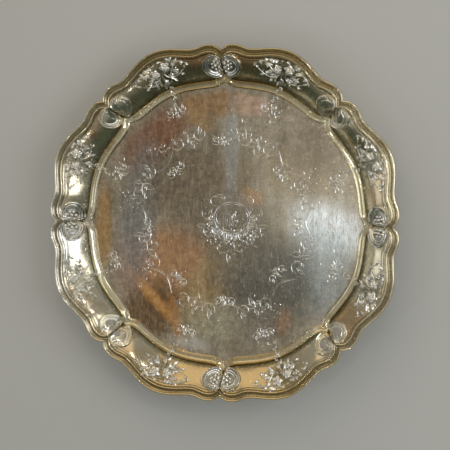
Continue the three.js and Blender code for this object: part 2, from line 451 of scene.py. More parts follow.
@dataclass(frozen=True)
class LeafShape:
    """Proportions that every leaf and petal in relief shares."""

    segments: int = 16
    rings: int = 14
    fullness: float = 0.8
    bluntness: float = 0.9
    cut: float = 0.22
    vein_depth: float = 0.45
    vein_width: float = 0.22
    root_height: float = 0.55
    tip_growth: float = 0.45
    least_height: float = 0.25


LEAF = LeafShape()


def add_leaf(
    bm: bmesh.types.BMesh, root: Point2, heading: float, length: float, width: float,
    height: float, bend: float = 0.0, lobes: int = 0,
) -> list[bmesh.types.BMVert]:
    """Adds a pointed leaf in relief, with a sunk midrib and curled tip.

    Args:
        bm: the bmesh to add it to.
        root: where the leaf starts, in plan.
        heading: the way it points, in degrees.
        length: from root to tip.
        width: across its widest part.
        height: how far it stands up.
        bend: how far its tip swings sideways, in degrees.
        lobes: number of cuts along its edge.

    Returns:
        The leaf's vertices.
    """
    made = bmesh.ops.create_uvsphere(bm, u_segments=LEAF.segments, v_segments=LEAF.rings, radius=1)
    verts = made["verts"]
    for vert in verts:
        along = (vert.co.z + 1) / 2
        flank, up = vert.co.x, vert.co.y
        inside = 0 < along < 1
        spread = math.sin(math.pi * along**LEAF.fullness) ** LEAF.bluntness if inside else 0.0
        notch = 1 - LEAF.cut * abs(math.sin(lobes * math.pi * along)) if lobes else 1.0
        across = flank * spread * notch * width / 2
        vein = LEAF.vein_depth * math.exp(-((flank / LEAF.vein_width) ** 2)) if up > 0 else 0.0
        growth = LEAF.root_height + LEAF.tip_growth * along
        lift = up * height * growth * max(spread, LEAF.least_height) * (1 - vein)
        swing = math.radians(heading + bend * along)
        x = root[0] + length * along * math.cos(swing) - across * math.sin(swing)
        y = root[1] + length * along * math.sin(swing) + across * math.cos(swing)
        vert.co = (x, y, lift)
    return verts


def mark_hollows(bm: bmesh.types.BMesh, depth_of: Callable[[bmesh.types.BMVert], float]) -> None:
    """Stores how far down in the relief each vertex lies, from 0 on top to 1 in the hollows.

    Args:
        bm: the mesh to mark.
        depth_of: gives the mark for a vertex.
    """
    layer = bm.verts.layers.float.get("hollow") or bm.verts.layers.float.new("hollow")
    for vert in bm.verts:
        vert[layer] = limit(depth_of(vert))


@dataclass
class Piece:
    """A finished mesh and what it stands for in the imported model."""

    name: str
    bm: bmesh.types.BMesh
    material: bpy.types.Material
    slot: str
    nodes: tuple[str, ...]
    sharp_angle: float = 50.0

    def place(self) -> bpy.types.Object:
        """Makes the piece an object that rides on the salver and reports it.

        Returns:
            The object.
        """
        bmesh.ops.recalc_face_normals(self.bm, faces=self.bm.faces)
        mesh = bpy.data.meshes.new(self.name)
        self.bm.to_mesh(mesh)
        self.bm.free()
        mesh.shade_smooth()
        mesh.set_sharp_from_angle(angle=math.radians(self.sharp_angle))
        mesh.materials.append(self.material)
        made = bpy.data.objects.new(self.name, mesh)
        bpy.context.collection.objects.link(made)
        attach(made, BODY)
        if self.nodes:
            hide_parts(*self.nodes)
        LOG.info("%s: %d faces, finish %s", self.name, len(mesh.polygons), self.material.name)
        return made


# ---------------------------------------------------------------- finishes


class NodeBench:
    """Adds nodes to a shader tree and joins them up."""

    def __init__(self, tree: bpy.types.NodeTree) -> None:
        """Works on a tree.

        Args:
            tree: the material's tree or a node group.
        """
        self.tree = tree

    def place(self, kind: str, inputs: dict | None = None, **settings: object) -> bpy.types.Node:
        """Adds a node.

        Args:
            kind: its type.
            inputs: sockets, by name or number, with a value or a socket to join.
            settings: its properties.

        Returns:
            The node.
        """
        node = self.tree.nodes.new(kind)
        for name, value in settings.items():
            setattr(node, name, value)
        for name, value in (inputs or {}).items():
            if isinstance(value, Socket):
                self.tree.links.new(value, node.inputs[name])
            else:
                node.inputs[name].default_value = value
        return node

    def maths(self, operation: str, *values: float | Socket) -> Socket:
        """The result of a Math node on up to three values."""
        node = self.place("ShaderNodeMath", dict(enumerate(values)), operation=operation)
        return node.outputs[0]

    def vector(self, operation: str, *values: Sequence[float] | Socket) -> bpy.types.Node:
        """A Vector Math node on the given vectors."""
        return self.place("ShaderNodeVectorMath", dict(enumerate(values)), operation=operation)

    def blend(self, factor: float | Socket, first: Socket | tuple, second: Socket | tuple,
              mode: str = "MIX") -> Socket:
        """A colour mixed from two others."""
        inputs = {0: factor, 6: rgba(first), 7: rgba(second)}
        return self.place("ShaderNodeMix", inputs, data_type="RGBA", blend_type=mode).outputs[2]

    def between(self, value: Socket, low: float | Socket, high: float | Socket,
                start: float = 0.0, end: float = 1.0) -> Socket:
        """Maps a value smoothly from the range low to high onto start to end.

        Args:
            value: what is mapped.
            low: start of its range.
            high: end of its range.
            start: result at low.
            end: result at high.

        Returns:
            The mapped value.
        """
        inputs = {"Value": value, "From Min": low, "From Max": high, "To Min": start, "To Max": end}
        node = self.place("ShaderNodeMapRange", inputs, interpolation_type="SMOOTHSTEP")
        return node.outputs[0]

    def noise(self, place: Socket, scale: float | Socket, detail: float = 4, rough: float = 0.55) -> Socket:
        """The value of a Noise Texture."""
        inputs = {"Vector": place, "Scale": scale, "Detail": detail, "Roughness": rough}
        return self.place("ShaderNodeTexNoise", inputs).outputs[0]


def rgba(colour: Socket | Sequence[float]) -> Socket | tuple:
    """A colour with its alpha, or the socket unchanged."""
    return colour if isinstance(colour, Socket) else (*colour[:3], 1.0)


def new_group(
    name: str, inputs: dict[str, str], outputs: Sequence[str],
) -> tuple[NodeBench, dict, bpy.types.Node]:
    """Starts a shader node group.

    Args:
        name: the group's name.
        inputs: socket types by name.
        outputs: names of its value outputs.

    Returns:
        The group's bench, its input sockets by name, and its output node.
    """
    tree = bpy.data.node_groups.new(name, "ShaderNodeTree")
    for label, kind in inputs.items():
        tree.interface.new_socket(name=label, in_out="INPUT", socket_type=kind)
    for label in outputs:
        tree.interface.new_socket(name=label, in_out="OUTPUT", socket_type="NodeSocketFloat")
    bench = NodeBench(tree)
    source = bench.place("NodeGroupInput")
    sink = bench.place("NodeGroupOutput")
    return bench, {label: source.outputs[label] for label in inputs}, sink


class Effects:
    """The effects that the finishes share, each built once as a node group."""

    def __init__(self) -> None:
        """Builds the groups."""
        self.blotches = self._blotches()
        self.scratches = self._scratches()
        self.stain_or_light = self._stain_or_light()
        self.patina = self._patina()
        self.glint_flecks = self._glint_flecks()
        self.streaks = self._streaks()

    @staticmethod
    def _blotches() -> bpy.types.NodeTree:
        """Soft uneven clouds of tarnish, with a finer mottle over them.

        Returns:
            The group, with the outputs Mask and Mottle.
        """
        bench, given, sink = new_group(
            "tarnish_blotches", {"Vector": "NodeSocketVector", "Scale": "NodeSocketFloat",
                                 "Cover": "NodeSocketFloat"}, ("Mask", "Mottle"))
        clean_level, cover_pull, softness, fineness = 0.75, 0.5, 0.3, 9
        wide = bench.noise(given["Vector"], given["Scale"], detail=5, rough=0.6)
        floor = bench.maths("SUBTRACT", clean_level, bench.maths("MULTIPLY", given["Cover"], cover_pull))
        mask = bench.between(wide, floor, bench.maths("ADD", floor, softness))
        scale = bench.maths("MULTIPLY", given["Scale"], fineness)
        fine = bench.noise(given["Vector"], scale, detail=6, rough=0.7)
        mottle = bench.between(fine, low=0.32, high=0.68)
        bench.tree.links.new(mask, sink.inputs["Mask"])
        bench.tree.links.new(mottle, sink.inputs["Mottle"])
        return bench.tree

    @staticmethod
    def _scratches() -> bpy.types.NodeTree:
        """Fine polishing scratches: most run along Y, and some cross them. The finish also paints them as
        bright glints.

        Returns:
            The group, with the outputs Mask and Height.
        """
        bench, given, sink = new_group(
            "polish_scratches", {"Vector": "NodeSocketVector", "Scale": "NodeSocketFloat",
                                 "Amount": "NodeSocketFloat"}, ("Mask", "Height"))
        heights: list[Socket] = []
        for turn, stretch, share in ((4, 0.13, 1.0), (-33, 0.09, 0.6), (58, 0.1, 0.5)):
            mapping = bench.place("ShaderNodeMapping", {
                "Vector": given["Vector"], "Rotation": (0, 0, math.radians(turn)), "Scale": (1, stretch, 1)})
            lines = bench.noise(mapping.outputs[0], given["Scale"], detail=3, rough=0.65)
            cuts = bench.between(lines, low=0.55, high=0.72)
            heights.append(bench.maths("MULTIPLY", cuts, share))
        deepest = bench.maths("MAXIMUM", bench.maths("MAXIMUM", heights[0], heights[1]), heights[2])
        mask = bench.maths("MULTIPLY", deepest, given["Amount"])
        bench.tree.links.new(mask, sink.inputs["Mask"])
        bench.tree.links.new(bench.maths("MULTIPLY", mask, -1), sink.inputs["Height"])
        return bench.tree

    @staticmethod
    def _glint_flecks() -> bpy.types.NodeTree:
        """Scattered small flecks of painted glint, and the rounded grain of a punched ground.

        Returns:
            The group, with the outputs Mask and Grain.
        """
        bench, given, sink = new_group(
            "glint_flecks_and_grain", {"Vector": "NodeSocketVector", "Scale": "NodeSocketFloat",
                                 "Cover": "NodeSocketFloat"}, ("Mask", "Grain"))
        cells = bench.place("ShaderNodeTexVoronoi", {"Vector": given["Vector"], "Scale": given["Scale"]})
        chance = bench.place("ShaderNodeSeparateColor", {0: cells.outputs["Color"]}).outputs[0]
        chosen = bench.maths("LESS_THAN", chance, given["Cover"])
        spot = bench.between(cells.outputs["Distance"], low=0.08, high=0.34, start=1, end=0)
        grain = bench.between(cells.outputs["Distance"], low=0, high=0.55, start=1, end=0)
        bench.tree.links.new(bench.maths("MULTIPLY", chosen, spot), sink.inputs["Mask"])
        bench.tree.links.new(grain, sink.inputs["Grain"])
        return bench.tree

    @staticmethod
    def _streaks() -> bpy.types.NodeTree:
        """Broad uneven streaks of wiping that run along Y.

        Returns:
            The group, with the output Mask.
        """
        bench, given, sink = new_group(
            "wiped_streaks", {"Vector": "NodeSocketVector", "Scale": "NodeSocketFloat"}, ("Mask",))
        mapping = bench.place("ShaderNodeMapping", {
            "Vector": given["Vector"], "Rotation": (0, 0, math.radians(3)), "Scale": (1, 0.12, 1)})
        lines = bench.noise(mapping.outputs[0], given["Scale"], detail=6, rough=0.68)
        bench.tree.links.new(bench.between(lines, low=0.36, high=0.66), sink.inputs["Mask"])
        return bench.tree

    @staticmethod
    def _stain_or_light() -> bpy.types.NodeTree:
        """One soft-edged patch at a given place, with a wavering outline; the patches are tarnish stains and
        painted highlights, painted reflections and painted shade.

        Returns:
            The group, with the output Mask.
        """
        bench, given, sink = new_group(
            "stain_or_light", {"Vector": "NodeSocketVector", "Centre": "NodeSocketVector",
                      "Reach": "NodeSocketVector", "Angle": "NodeSocketFloat",
                      "Softness": "NodeSocketFloat"}, ("Mask",))
        away = bench.vector("SUBTRACT", given["Vector"], given["Centre"]).outputs[0]
        turned = bench.place("ShaderNodeVectorRotate", {"Vector": away, "Angle": given["Angle"]},
                             rotation_type="Z_AXIS").outputs[0]
        scaled = bench.vector("DIVIDE", turned, given["Reach"]).outputs[0]
        far = bench.vector("LENGTH", scaled).outputs["Value"]
        waver_scale, waver_size = 28, 0.9
        clouds = bench.noise(given["Vector"], waver_scale, detail=4, rough=0.6)
        waver = bench.maths("MULTIPLY", clouds, waver_size)
        edge = bench.maths("ADD", far, bench.maths("SUBTRACT", waver, waver_size / 2))
        inside = bench.maths("SUBTRACT", 1, given["Softness"])
        outside = bench.maths("ADD", 1, given["Softness"])
        fade = bench.between(edge, inside, outside, start=1, end=0)
        bench.tree.links.new(fade, sink.inputs["Mask"])
        return bench.tree

    @staticmethod
    def _patina() -> bpy.types.NodeTree:
        """Dark deposit in the hollows of relief work, rubbed away on its high points.

        Returns:
            The group, with the output Mask.
        """
        bench, given, sink = new_group(
            "hollow_patina", {"Hollow": "NodeSocketFloat", "Vector": "NodeSocketVector",
                              "Reach": "NodeSocketFloat"}, ("Mask",))
        cloud_scale, unevenness, rubbed_level = 260, 0.5, 0.9
        clouds = bench.noise(given["Vector"], cloud_scale, detail=4, rough=0.6)
        uneven = bench.maths("MULTIPLY", clouds, unevenness)
        depth = bench.maths("ADD", given["Hollow"], bench.maths("SUBTRACT", uneven, unevenness / 2))
        low = bench.maths("SUBTRACT", rubbed_level, given["Reach"])
        bench.tree.links.new(bench.between(depth, low, 1.0), sink.inputs["Mask"])
        return bench.tree


@dataclass(frozen=True)
class StainOrLightPatch:
    """A patch of colour at a place on the salver: a stain of tarnish or rubbed metal, or a painted highlight,
    painted reflection or painted shade.
    """

    centre: Point2
    reach: Point2
    colour: Colour
    strength: float = 0.8
    softness: float = 0.5
    angle: float = 0.0
    roughness: float | None = None


@dataclass(frozen=True)
class SilverFinish:
    """A silver finish: clean metal, its tarnish and its wear, with painted glints and patches of painted
    highlight, reflection and shade.
    """

    name: str
    slot: str
    metal: Colour
    tarnish: Colour
    grime: Colour
    roughness: float = 0.26
    cover: float = 0.45
    blotch_scale: float = 22.0
    mottle: float = 0.25
    scratch_scale: float = 900.0
    scratches: float = 0.5
    hammer: float = 0.25
    glint_flecks: float = 0.0
    fleck_scale: float = 420.0
    grain: float = 0.0
    streaks: float = 0.0
    patina_reach: float = 0.6
    patina: float = 0.85
    patch_depth: float = 1.0
    stains_and_light: tuple[StainOrLightPatch, ...] = ()
    streak_scale: float = 110.0
    pale: Colour = (0.9, 0.87, 0.8)
    wiped_dark: Colour = (0.42, 0.41, 0.38)
    glint_gain: float = 1.5
    smoothest: float = -0.04
    roughest: float = 0.06
    patina_roughness: float = 0.18
    dent_scale: float = 70
    dent_gain: float = 8
    scratch_depth: float = 0.6
    bump_distance: float = 0.1 * MM
    bump_strength: float = 0.8

    def material(self, effects: Effects) -> bpy.types.Material:
        """Builds the finish.

        Args:
            effects: the shared node groups.

        Returns:
            The material.
        """
        made = bpy.data.materials.new(self.name)
        made.use_nodes = True
        made.node_tree.nodes.clear()
        bench = NodeBench(made.node_tree)
        place = bench.place("ShaderNodeTexCoord").outputs["Object"]
        hollow = bench.place("ShaderNodeAttribute", attribute_name="hollow").outputs["Fac"]
        blotches = bench.place("ShaderNodeGroup", {}, node_tree=effects.blotches)
        scratches = bench.place("ShaderNodeGroup", {}, node_tree=effects.scratches)
        patina = bench.place("ShaderNodeGroup", {}, node_tree=effects.patina)
        glint_flecks = bench.place("ShaderNodeGroup", {}, node_tree=effects.glint_flecks)
        streaks = bench.place("ShaderNodeGroup", {}, node_tree=effects.streaks)
        for node, values in (
            (blotches, {"Scale": self.blotch_scale, "Cover": self.cover}),
            (scratches, {"Scale": self.scratch_scale, "Amount": self.scratches}),
            (patina, {"Hollow": hollow, "Reach": self.patina_reach}),
            (glint_flecks, {"Scale": self.fleck_scale, "Cover": self.glint_flecks}),
            (streaks, {"Scale": self.streak_scale}),
        ):
            for label, value in {"Vector": place, **values}.items():
                if isinstance(value, Socket):
                    bench.tree.links.new(value, node.inputs[label])
                else:
                    node.inputs[label].default_value = value
        colour = bench.blend(blotches.outputs["Mask"], self.metal, self.tarnish)
        mottle = blotches.outputs["Mottle"]
        rough = bench.between(
            mottle, 0, 1, start=self.roughness + self.smoothest, end=self.roughness + self.roughest)
        # The patches mix tarnish stains and painted highlights, painted reflections and painted shade into
        # the colour.
        for stain_or_light in self.stains_and_light:
            patch = bench.place("ShaderNodeGroup", {}, node_tree=effects.stain_or_light)
            bench.tree.links.new(place, patch.inputs["Vector"])
            centre, reach = ([part * MM for part in pair] for pair in (stain_or_light.centre, stain_or_light.reach))
            patch.inputs["Centre"].default_value = (*centre, PLAN.well_face)
            patch.inputs["Reach"].default_value = (*reach, self.patch_depth)
            patch.inputs["Angle"].default_value = math.radians(stain_or_light.angle)
            patch.inputs["Softness"].default_value = stain_or_light.softness
            mask = bench.maths("MULTIPLY", patch.outputs["Mask"], stain_or_light.strength)
            colour = bench.blend(mask, colour, stain_or_light.colour)
            if stain_or_light.roughness is not None:
                inputs = {0: mask, 2: rough, 3: stain_or_light.roughness}
                rough = bench.place("ShaderNodeMix", inputs, data_type="FLOAT").outputs[0]
        lighter = bench.blend(
            bench.maths("MULTIPLY", mottle, self.mottle), colour, self.pale, "SOFT_LIGHT")
        streaky = bench.maths("MULTIPLY", streaks.outputs["Mask"], self.streaks)
        wiped = bench.blend(streaky, lighter, self.wiped_dark, "MULTIPLY")
        # Painted glints: the scratches and flecks are coloured brighter than the metal, as lines and specks
        # that catch the light.
        bright = tuple(min(1, part * self.glint_gain) for part in self.metal)
        glints = bench.maths("MAXIMUM", scratches.outputs["Mask"], glint_flecks.outputs["Mask"])
        with_painted_glints = bench.blend(glints, wiped, bright)
        dark = patina.outputs["Mask"]
        worn = bench.blend(bench.maths("MULTIPLY", dark, self.patina), with_painted_glints, self.grime)
        rough = bench.maths("ADD", rough, bench.maths("MULTIPLY", dark, self.patina_roughness))
        dents = bench.maths(
            "MULTIPLY", bench.noise(place, self.dent_scale, detail=2, rough=0.4),
            self.dent_gain * self.hammer)
        ground = bench.maths("MULTIPLY", bench.between(hollow, low=0.35, high=0.9), self.grain)
        scores = bench.maths("MULTIPLY", scratches.outputs["Height"], self.scratch_depth)
        grained = bench.maths("MULTIPLY_ADD", glint_flecks.outputs["Grain"], ground, scores)
        bump = bench.place("ShaderNodeBump", {
            "Height": bench.maths("ADD", dents, grained),
            "Distance": self.bump_distance, "Strength": self.bump_strength})
        shader = bench.place("ShaderNodeBsdfPrincipled", {
            "Base Color": worn, "Roughness": rough, "Metallic": 1.0, "Normal": bump.outputs[0]})
        output = bench.place("ShaderNodeOutputMaterial")
        bench.tree.links.new(shader.outputs[0], output.inputs[0])
        return made


# Patches in the well: mostly tarnish stains, with the painted reflections and painted highlight marked below.
WELL_STAINS_AND_LIGHT = (
    StainOrLightPatch((-58, -56), (64, 50), (0.62, 0.31, 0.14), 0.85, 0.3, 20),
    StainOrLightPatch((-18, -70), (26, 52), (0.5, 0.38, 0.18), 0.7, 0.4, 30),
    StainOrLightPatch((-88, -105), (44, 30), (0.22, 0.13, 0.06), 0.9, 0.3, -40),
    # Painted reflection: a curved orange streak of reflected light, in two parts.
    StainOrLightPatch((-78, -88), (5, 46), (0.95, 0.45, 0.14), 0.8, 0.75, -43),
    StainOrLightPatch((-54, -112), (6, 26), (0.85, 0.38, 0.12), 0.7, 0.7, -14),
    # Painted reflection: a bright bluish-white patch of window light, with its bluish-grey lower part.
    StainOrLightPatch((112, -2), (40, 26), (0.95, 1.0, 1.0), 0.9, 0.6, 25, 0.2),
    StainOrLightPatch((104, -48), (34, 48), (0.42, 0.49, 0.51), 0.75, 0.5, 0, 0.22),
    StainOrLightPatch((48, -66), (54, 54), (0.13, 0.13, 0.115), 0.9, 0.4, 10),
    StainOrLightPatch((28, -112), (34, 24), (0.3, 0.27, 0.22), 0.75, 0.5, -10),
    StainOrLightPatch((66, -108), (8, 15), (0.5, 0.26, 0.13), 0.45, 0.6, 14),
    StainOrLightPatch((-78, 92), (46, 22), (0.36, 0.15, 0.08), 0.85, 0.45, -38),
    StainOrLightPatch((-8, 130), (40, 13), (0.6, 0.34, 0.15), 0.8, 0.4),
    StainOrLightPatch((32, 128), (22, 11), (0.86, 0.6, 0.46), 0.75, 0.3, 10),
    StainOrLightPatch((-28, 112), (16, 10), (0.66, 0.4, 0.18), 0.7, 0.35, 30),
    StainOrLightPatch((6, 66), (8, 62), (0.6, 0.66, 0.68), 0.6, 0.6, 2),
    StainOrLightPatch((-14, 74), (6, 56), (0.2, 0.16, 0.12), 0.4, 0.6, 0),
    StainOrLightPatch((-98, 10), (20, 74), (0.34, 0.36, 0.38), 0.75, 0.5, 8),
    StainOrLightPatch((-138, -6), (9, 46), (0.66, 0.4, 0.16), 0.85, 0.35, 0),
    StainOrLightPatch((30, 29), (13, 9), (0.8, 0.46, 0.25), 0.7, 0.4, 25),
    StainOrLightPatch((-15, -112), (34, 24), (0.5, 0.47, 0.33), 0.7, 0.5, 0),
    StainOrLightPatch((82, 52), (40, 26), (0.46, 0.38, 0.26), 0.75, 0.5, 20),
    StainOrLightPatch((96, 84), (34, 30), (0.34, 0.28, 0.21), 0.8, 0.6, 0),
    # Painted highlight: a soft bright spot near the bottom of the well.
    StainOrLightPatch((-36, -134), (17, 6), (0.95, 0.96, 0.88), 0.75, 0.6, 10, 0.14),
    StainOrLightPatch((-40, 40), (58, 48), (0.24, 0.19, 0.13), 0.8, 0.6, 0),
    StainOrLightPatch((14, -14), (44, 40), (0.22, 0.2, 0.16), 0.75, 0.6, 0),
)

# Patches on the border: tarnish stains, with the painted light marked below.
BORDER_STAINS_AND_LIGHT = (
    # Painted reflection: golden tone across the bottom of the border, from the warm light it faces.
    StainOrLightPatch((0, -176), (150, 38), (0.58, 0.43, 0.22), 0.85, 0.5),
    # Painted shade: darker tone across the top of the border, which faces the dark side of the room.
    StainOrLightPatch((0, 172), (140, 36), (0.42, 0.35, 0.22), 0.85, 0.5),
    StainOrLightPatch((-30, 178), (16, 12), (0.45, 0.24, 0.11), 0.7, 0.5),
    StainOrLightPatch((28, 176), (15, 11), (0.5, 0.3, 0.13), 0.7, 0.5),
    StainOrLightPatch((-128, 122), (22, 14), (0.45, 0.26, 0.12), 0.7, 0.5, -40),
    StainOrLightPatch((168, 34), (9, 22), (0.55, 0.4, 0.24), 0.6, 0.5),
    StainOrLightPatch((138, -100), (34, 18), (0.5, 0.3, 0.12), 0.7, 0.5, 40),
    # Painted highlight: a broad white highlight on the left of the border.
    StainOrLightPatch((-176, -20), (14, 34), (0.93, 0.95, 0.93), 0.7, 0.5),
)
# Painted light on the mouldings: a painted reflection, painted shade and a painted highlight, marked below.
MOULDING_PAINTED_LIGHT = (
    # Painted reflection: golden tone across the bottom of the mouldings, from the warm light they face.
    StainOrLightPatch((0, -180), (170, 46), (0.76, 0.6, 0.32), 0.8, 0.6),
    # Painted shade: darker tone across the top of the mouldings, which face the dark side of the room.
    StainOrLightPatch((0, 180), (150, 42), (0.52, 0.42, 0.22), 0.8, 0.6),
    # Painted highlight: a broad white highlight on the left of the mouldings.
    StainOrLightPatch((-180, -30), (34, 80), (0.95, 0.93, 0.86), 0.7, 0.6),
)

WELL = SilverFinish(
    "well_silver_finish", "well_silver", (0.5, 0.44, 0.34), (0.3, 0.24, 0.16), (0.12, 0.09, 0.06),
    roughness=0.24, cover=0.55, blotch_scale=18, mottle=0.6, scratches=0.65, glint_flecks=0.26,
    fleck_scale=620, streaks=0.32, patch_depth=1.1 * MM, stains_and_light=WELL_STAINS_AND_LIGHT)
BORDER = SilverFinish(
    "border_silver_finish", "border_silver", (0.76, 0.68, 0.5), (0.46, 0.27, 0.12), (0.045, 0.06, 0.035),
    roughness=0.15, cover=0.5, blotch_scale=34, scratches=0.3, grain=3.0, fleck_scale=420, glint_flecks=0.12,
    patina_reach=0.55, patina=0.8, stains_and_light=BORDER_STAINS_AND_LIGHT)
MOULDING = SilverFinish(
    "moulding_silver_finish", "moulding_silver", (0.9, 0.83, 0.62), (0.6, 0.44, 0.2), (0.16, 0.12, 0.05),
    roughness=0.11, cover=0.45, blotch_scale=40, scratches=0.25, patina_reach=0.4, patina=0.8,
    stains_and_light=MOULDING_PAINTED_LIGHT)
ORNAMENT = SilverFinish(
    "ornament_silver_finish", "ornament_silver", (0.93, 0.92, 0.86), (0.66, 0.56, 0.38), (0.045, 0.045, 0.03),
    roughness=0.14, cover=0.3, blotch_scale=60, scratches=0.2, patina_reach=0.62)
BOSS = SilverFinish(
    "boss_silver_finish", "ornament_silver", (0.8, 0.76, 0.64), (0.5, 0.38, 0.22), (0.05, 0.05, 0.035),
    roughness=0.15, cover=0.4, blotch_scale=60, scratches=0.25, patina_reach=0.55)
FOOT = SilverFinish(
    "foot_silver_finish", "foot_silver", (0.68, 0.62, 0.5), (0.46, 0.36, 0.22), (0.08, 0.06, 0.04),
    roughness=0.24, cover=0.5, blotch_scale=50)
ENGRAVED = SilverFinish(
    "engraved_line_finish", "well_silver", (0.97, 0.97, 0.95), (0.75, 0.72, 0.64), (0.1, 0.08, 0.06),
    roughness=0.12, cover=0.4, blotch_scale=90, scratches=0.0)


# ---------------------------------------------------------------- pieces


@dataclass
class WellPlate:
    """The flat well, with the stepped seat round its edge."""

    rings: int = 46
    steps: int = 320
    back_rings: int = 12
    waviness: float = 0.16 * MM
    wave_length: float = 55 * MM
    edge_pull: int = 5
    edge_stillness: int = 8

    def build(self, finish: bpy.types.Material) -> bpy.types.Object:
        """Spins the plate, then draws its edge out to the scalloped line.

        Args:
            finish: the material it is given.

        Returns:
            The plate.
        """
        low, seat = -PLAN.plate_thickness, -PLAN.seat_depth
        face = [(part / self.rings, 0.0) for part in range(self.rings + 1)]
        back = [(part / self.back_rings, low) for part in range(self.back_rings, -1, -1)]
        section = [*face, (1, seat), (2, seat), (2, low), *back]
        bm = spin_section(section, 360, self.steps)
        plain = PLAN.shoulder_radius - PLAN.border_width
        for vert in bm.verts:
            x, y, height = vert.co
            turn, across = math.atan2(y, x), math.hypot(x, y)
            fold = PLAN.fold_of(math.degrees(turn))
            edge = PLAN.beside_well(fold, PLAN.moulding_width * limit(across - 1))
            inner = across * mix(plain, PLAN.well_radius(fold), across**self.edge_pull)
            radius = edge if across > 1 else inner
            point = Vector((radius * math.cos(turn), radius * math.sin(turn), 0))
            calm = 1 - limit(across) ** self.edge_stillness
            wave = noise.noise(point / self.wave_length) * self.waviness * calm
            vert.co = (point.x, point.y, PLAN.well_face + height + wave)
        return Piece("well_plate_visual", bm, finish, "well_silver", ("well_plate",), 30).place()


@dataclass
class BorderPanels:
    """The eight raised panels of the border."""

    stations: int = 56
    steps: int = 104
    crease: float = 0.9 * MM
    crease_angle: float = 0.9
    back_stations: int = 16
    reeds: tuple[tuple[float, float, float], ...] = ((0.94, 0.035, 1.0 * MM), (0.865, 0.025, 0.4 * MM))
    waviness: float = 0.12 * MM
    wave_length: float = 14 * MM
    wave_turn: float = 5
    wave_row: float = 0.3
    under_rim: float = 2.9 * MM
    flange_drop: float = 1.2 * MM
    toe_height: float = 0.4 * MM
    on_face: float = 1.0
    on_back: float = 2.0

    def valley(self, fold: float) -> float:
        """Depth of the crease beside a notch."""
        return self.crease * math.exp(-fold / self.crease_angle)

    def relief(self, share: float, fold: float, radius: float) -> float:
        """Height that the chasing adds to the plain field at a place.

        Args:
            share: share of the way out over the field.
            fold: degrees from the nearest notch.
            radius: distance from the middle of the well.

        Returns:
            The added height, in metres.
        """
        reeds = sum(height * ridge(share, where, wide) for where, wide, height in self.reeds)
        spot = Vector((radius / self.wave_length, fold / self.wave_turn, self.wave_row))
        return reeds + noise.noise(spot) * self.waviness

    def place(self, across: float, height: float, fold: float) -> tuple[float, float]:
        """Where a point of the section lies at an angle.

        Args:
            across: 1 to 2 over the field, and on to 3 under the rim.
            height: a height over the well face, or the mark on_face or on_back.
            fold: degrees from the nearest notch.

        Returns:
            The radius and the height over the well face.
        """
        share = across - 1
        if share <= 1:
            radius = mix(PLAN.field_inner(fold), PLAN.field_outer(fold), share)
        else:
            radius = mix(PLAN.field_outer(fold), PLAN.beside_rim(fold, -self.under_rim), share - 1)
        if height < self.on_face:
            return radius, height
        level = PLAN.field_height(share, fold) - self.valley(fold)
        if height < self.on_back:
            return radius, level + self.relief(share, fold, radius)
        width = PLAN.field_outer(fold) - PLAN.field_inner(fold)
        reach = 0.01
        climb = PLAN.field_height(share + reach, fold) - PLAN.field_height(share - reach, fold)
        slope = climb / (2 * reach * width)
        return radius, level - PLAN.sheet_thickness * math.hypot(1, slope)

    def section(self) -> list[Point2]:
        """The panel's section: points on its face and back carry marks that place reads.

        Returns:
            Its (across, height) points.
        """
        flange = PLAN.field_top - self.flange_drop
        flange_back = flange - PLAN.sheet_thickness
        face = [(1 + part / self.stations, self.on_face) for part in range(self.stations + 1)]
        last = self.back_stations - 1
        back = [(1 + part / self.back_stations, self.on_back) for part in range(last, 1, -1)]
        low = -PLAN.plate_thickness
        toe = [(1.07, low + self.toe_height), (1.05, low), (1.0, low)]
        return [*face, (2, flange), (3, flange), (3, flange_back), (2, flange_back), *back, *toe]

    def hollow(self, vert: bmesh.types.BMVert) -> float:
        """How much dark deposit a vertex holds: at the edges, the notches and the spray.

        Args:
            vert: a vertex of the first panel.

        Returns:
            The mark, from 0 to 1.
        """
        back_depth, back_level, least = 1 * MM, 0.35, 0.3
        fold = fold_at(vert)
        radius = math.hypot(vert.co.x, vert.co.y)
        inner, outer = PLAN.field_inner(fold), PLAN.field_outer(fold)
        share = (radius - inner) / (outer - inner)
        if vert.co.z - PLAN.well_face < PLAN.field_height(share, fold) - back_depth:
            return back_level
        edges = max(ridge(share, 0.0, 0.32), ridge(share, 1.0, 0.045), ridge(share, 0.9, 0.03))
        spray_turn, spray_share, spray_edge = 8.5, 0.55, 1.3
        among = math.hypot((PLAN.half_panel - fold) / spray_turn, (share - 0.5) / spray_share)
        beside_notch = 0.95 * math.exp(-fold / 0.8)
        return max(edges * 0.9, beside_notch, 0.78 * swell(limit(spray_edge - among)), least)

    def build(self, finish: bpy.types.Material) -> list[bpy.types.Object]:
        """Builds one panel and turns copies of it into place.

        Args:
            finish: the material it is given.

        Returns:
            The eight panels.
        """
        bm = sweep_panel(self.section(), self.place, self.steps)
        mark_hollows(bm, self.hollow)
        return place_round(bm, "border_panel", finish, "border_silver")


def place_round(
    bm: bmesh.types.BMesh, name: str, finish: bpy.types.Material, slot: str,
) -> list[bpy.types.Object]:
    """Turns copies of a panel's piece into place round the salver.

    Args:
        bm: the first panel's piece, which is used up.
        name: the CAD nodes' name without its number.
        finish: the material it is given.
        slot: the material slot of the pieces.

    Returns:
        The eight objects.
    """
    made = []
    for index in range(PLAN.panels):
        copy = bm.copy()
        turn_about(copy, copy.verts, index * PLAN.panel_angle)
        node = f"{name}_{index + 1}"
        made.append(Piece(f"{node}_visual", copy, finish, slot, (node,)).place())
    bm.free()
    return made


def arc_points(centre: Point2, halves: Point2, start: float, end: float, count: int) -> list[Point2]:
    """Points along an oval arc, angles in degrees."""
    angles = [math.radians(mix(start, end, part / count)) for part in range(count + 1)]
    return [(centre[0] + halves[0] * math.cos(a), centre[1] + halves[1] * math.sin(a)) for a in angles]


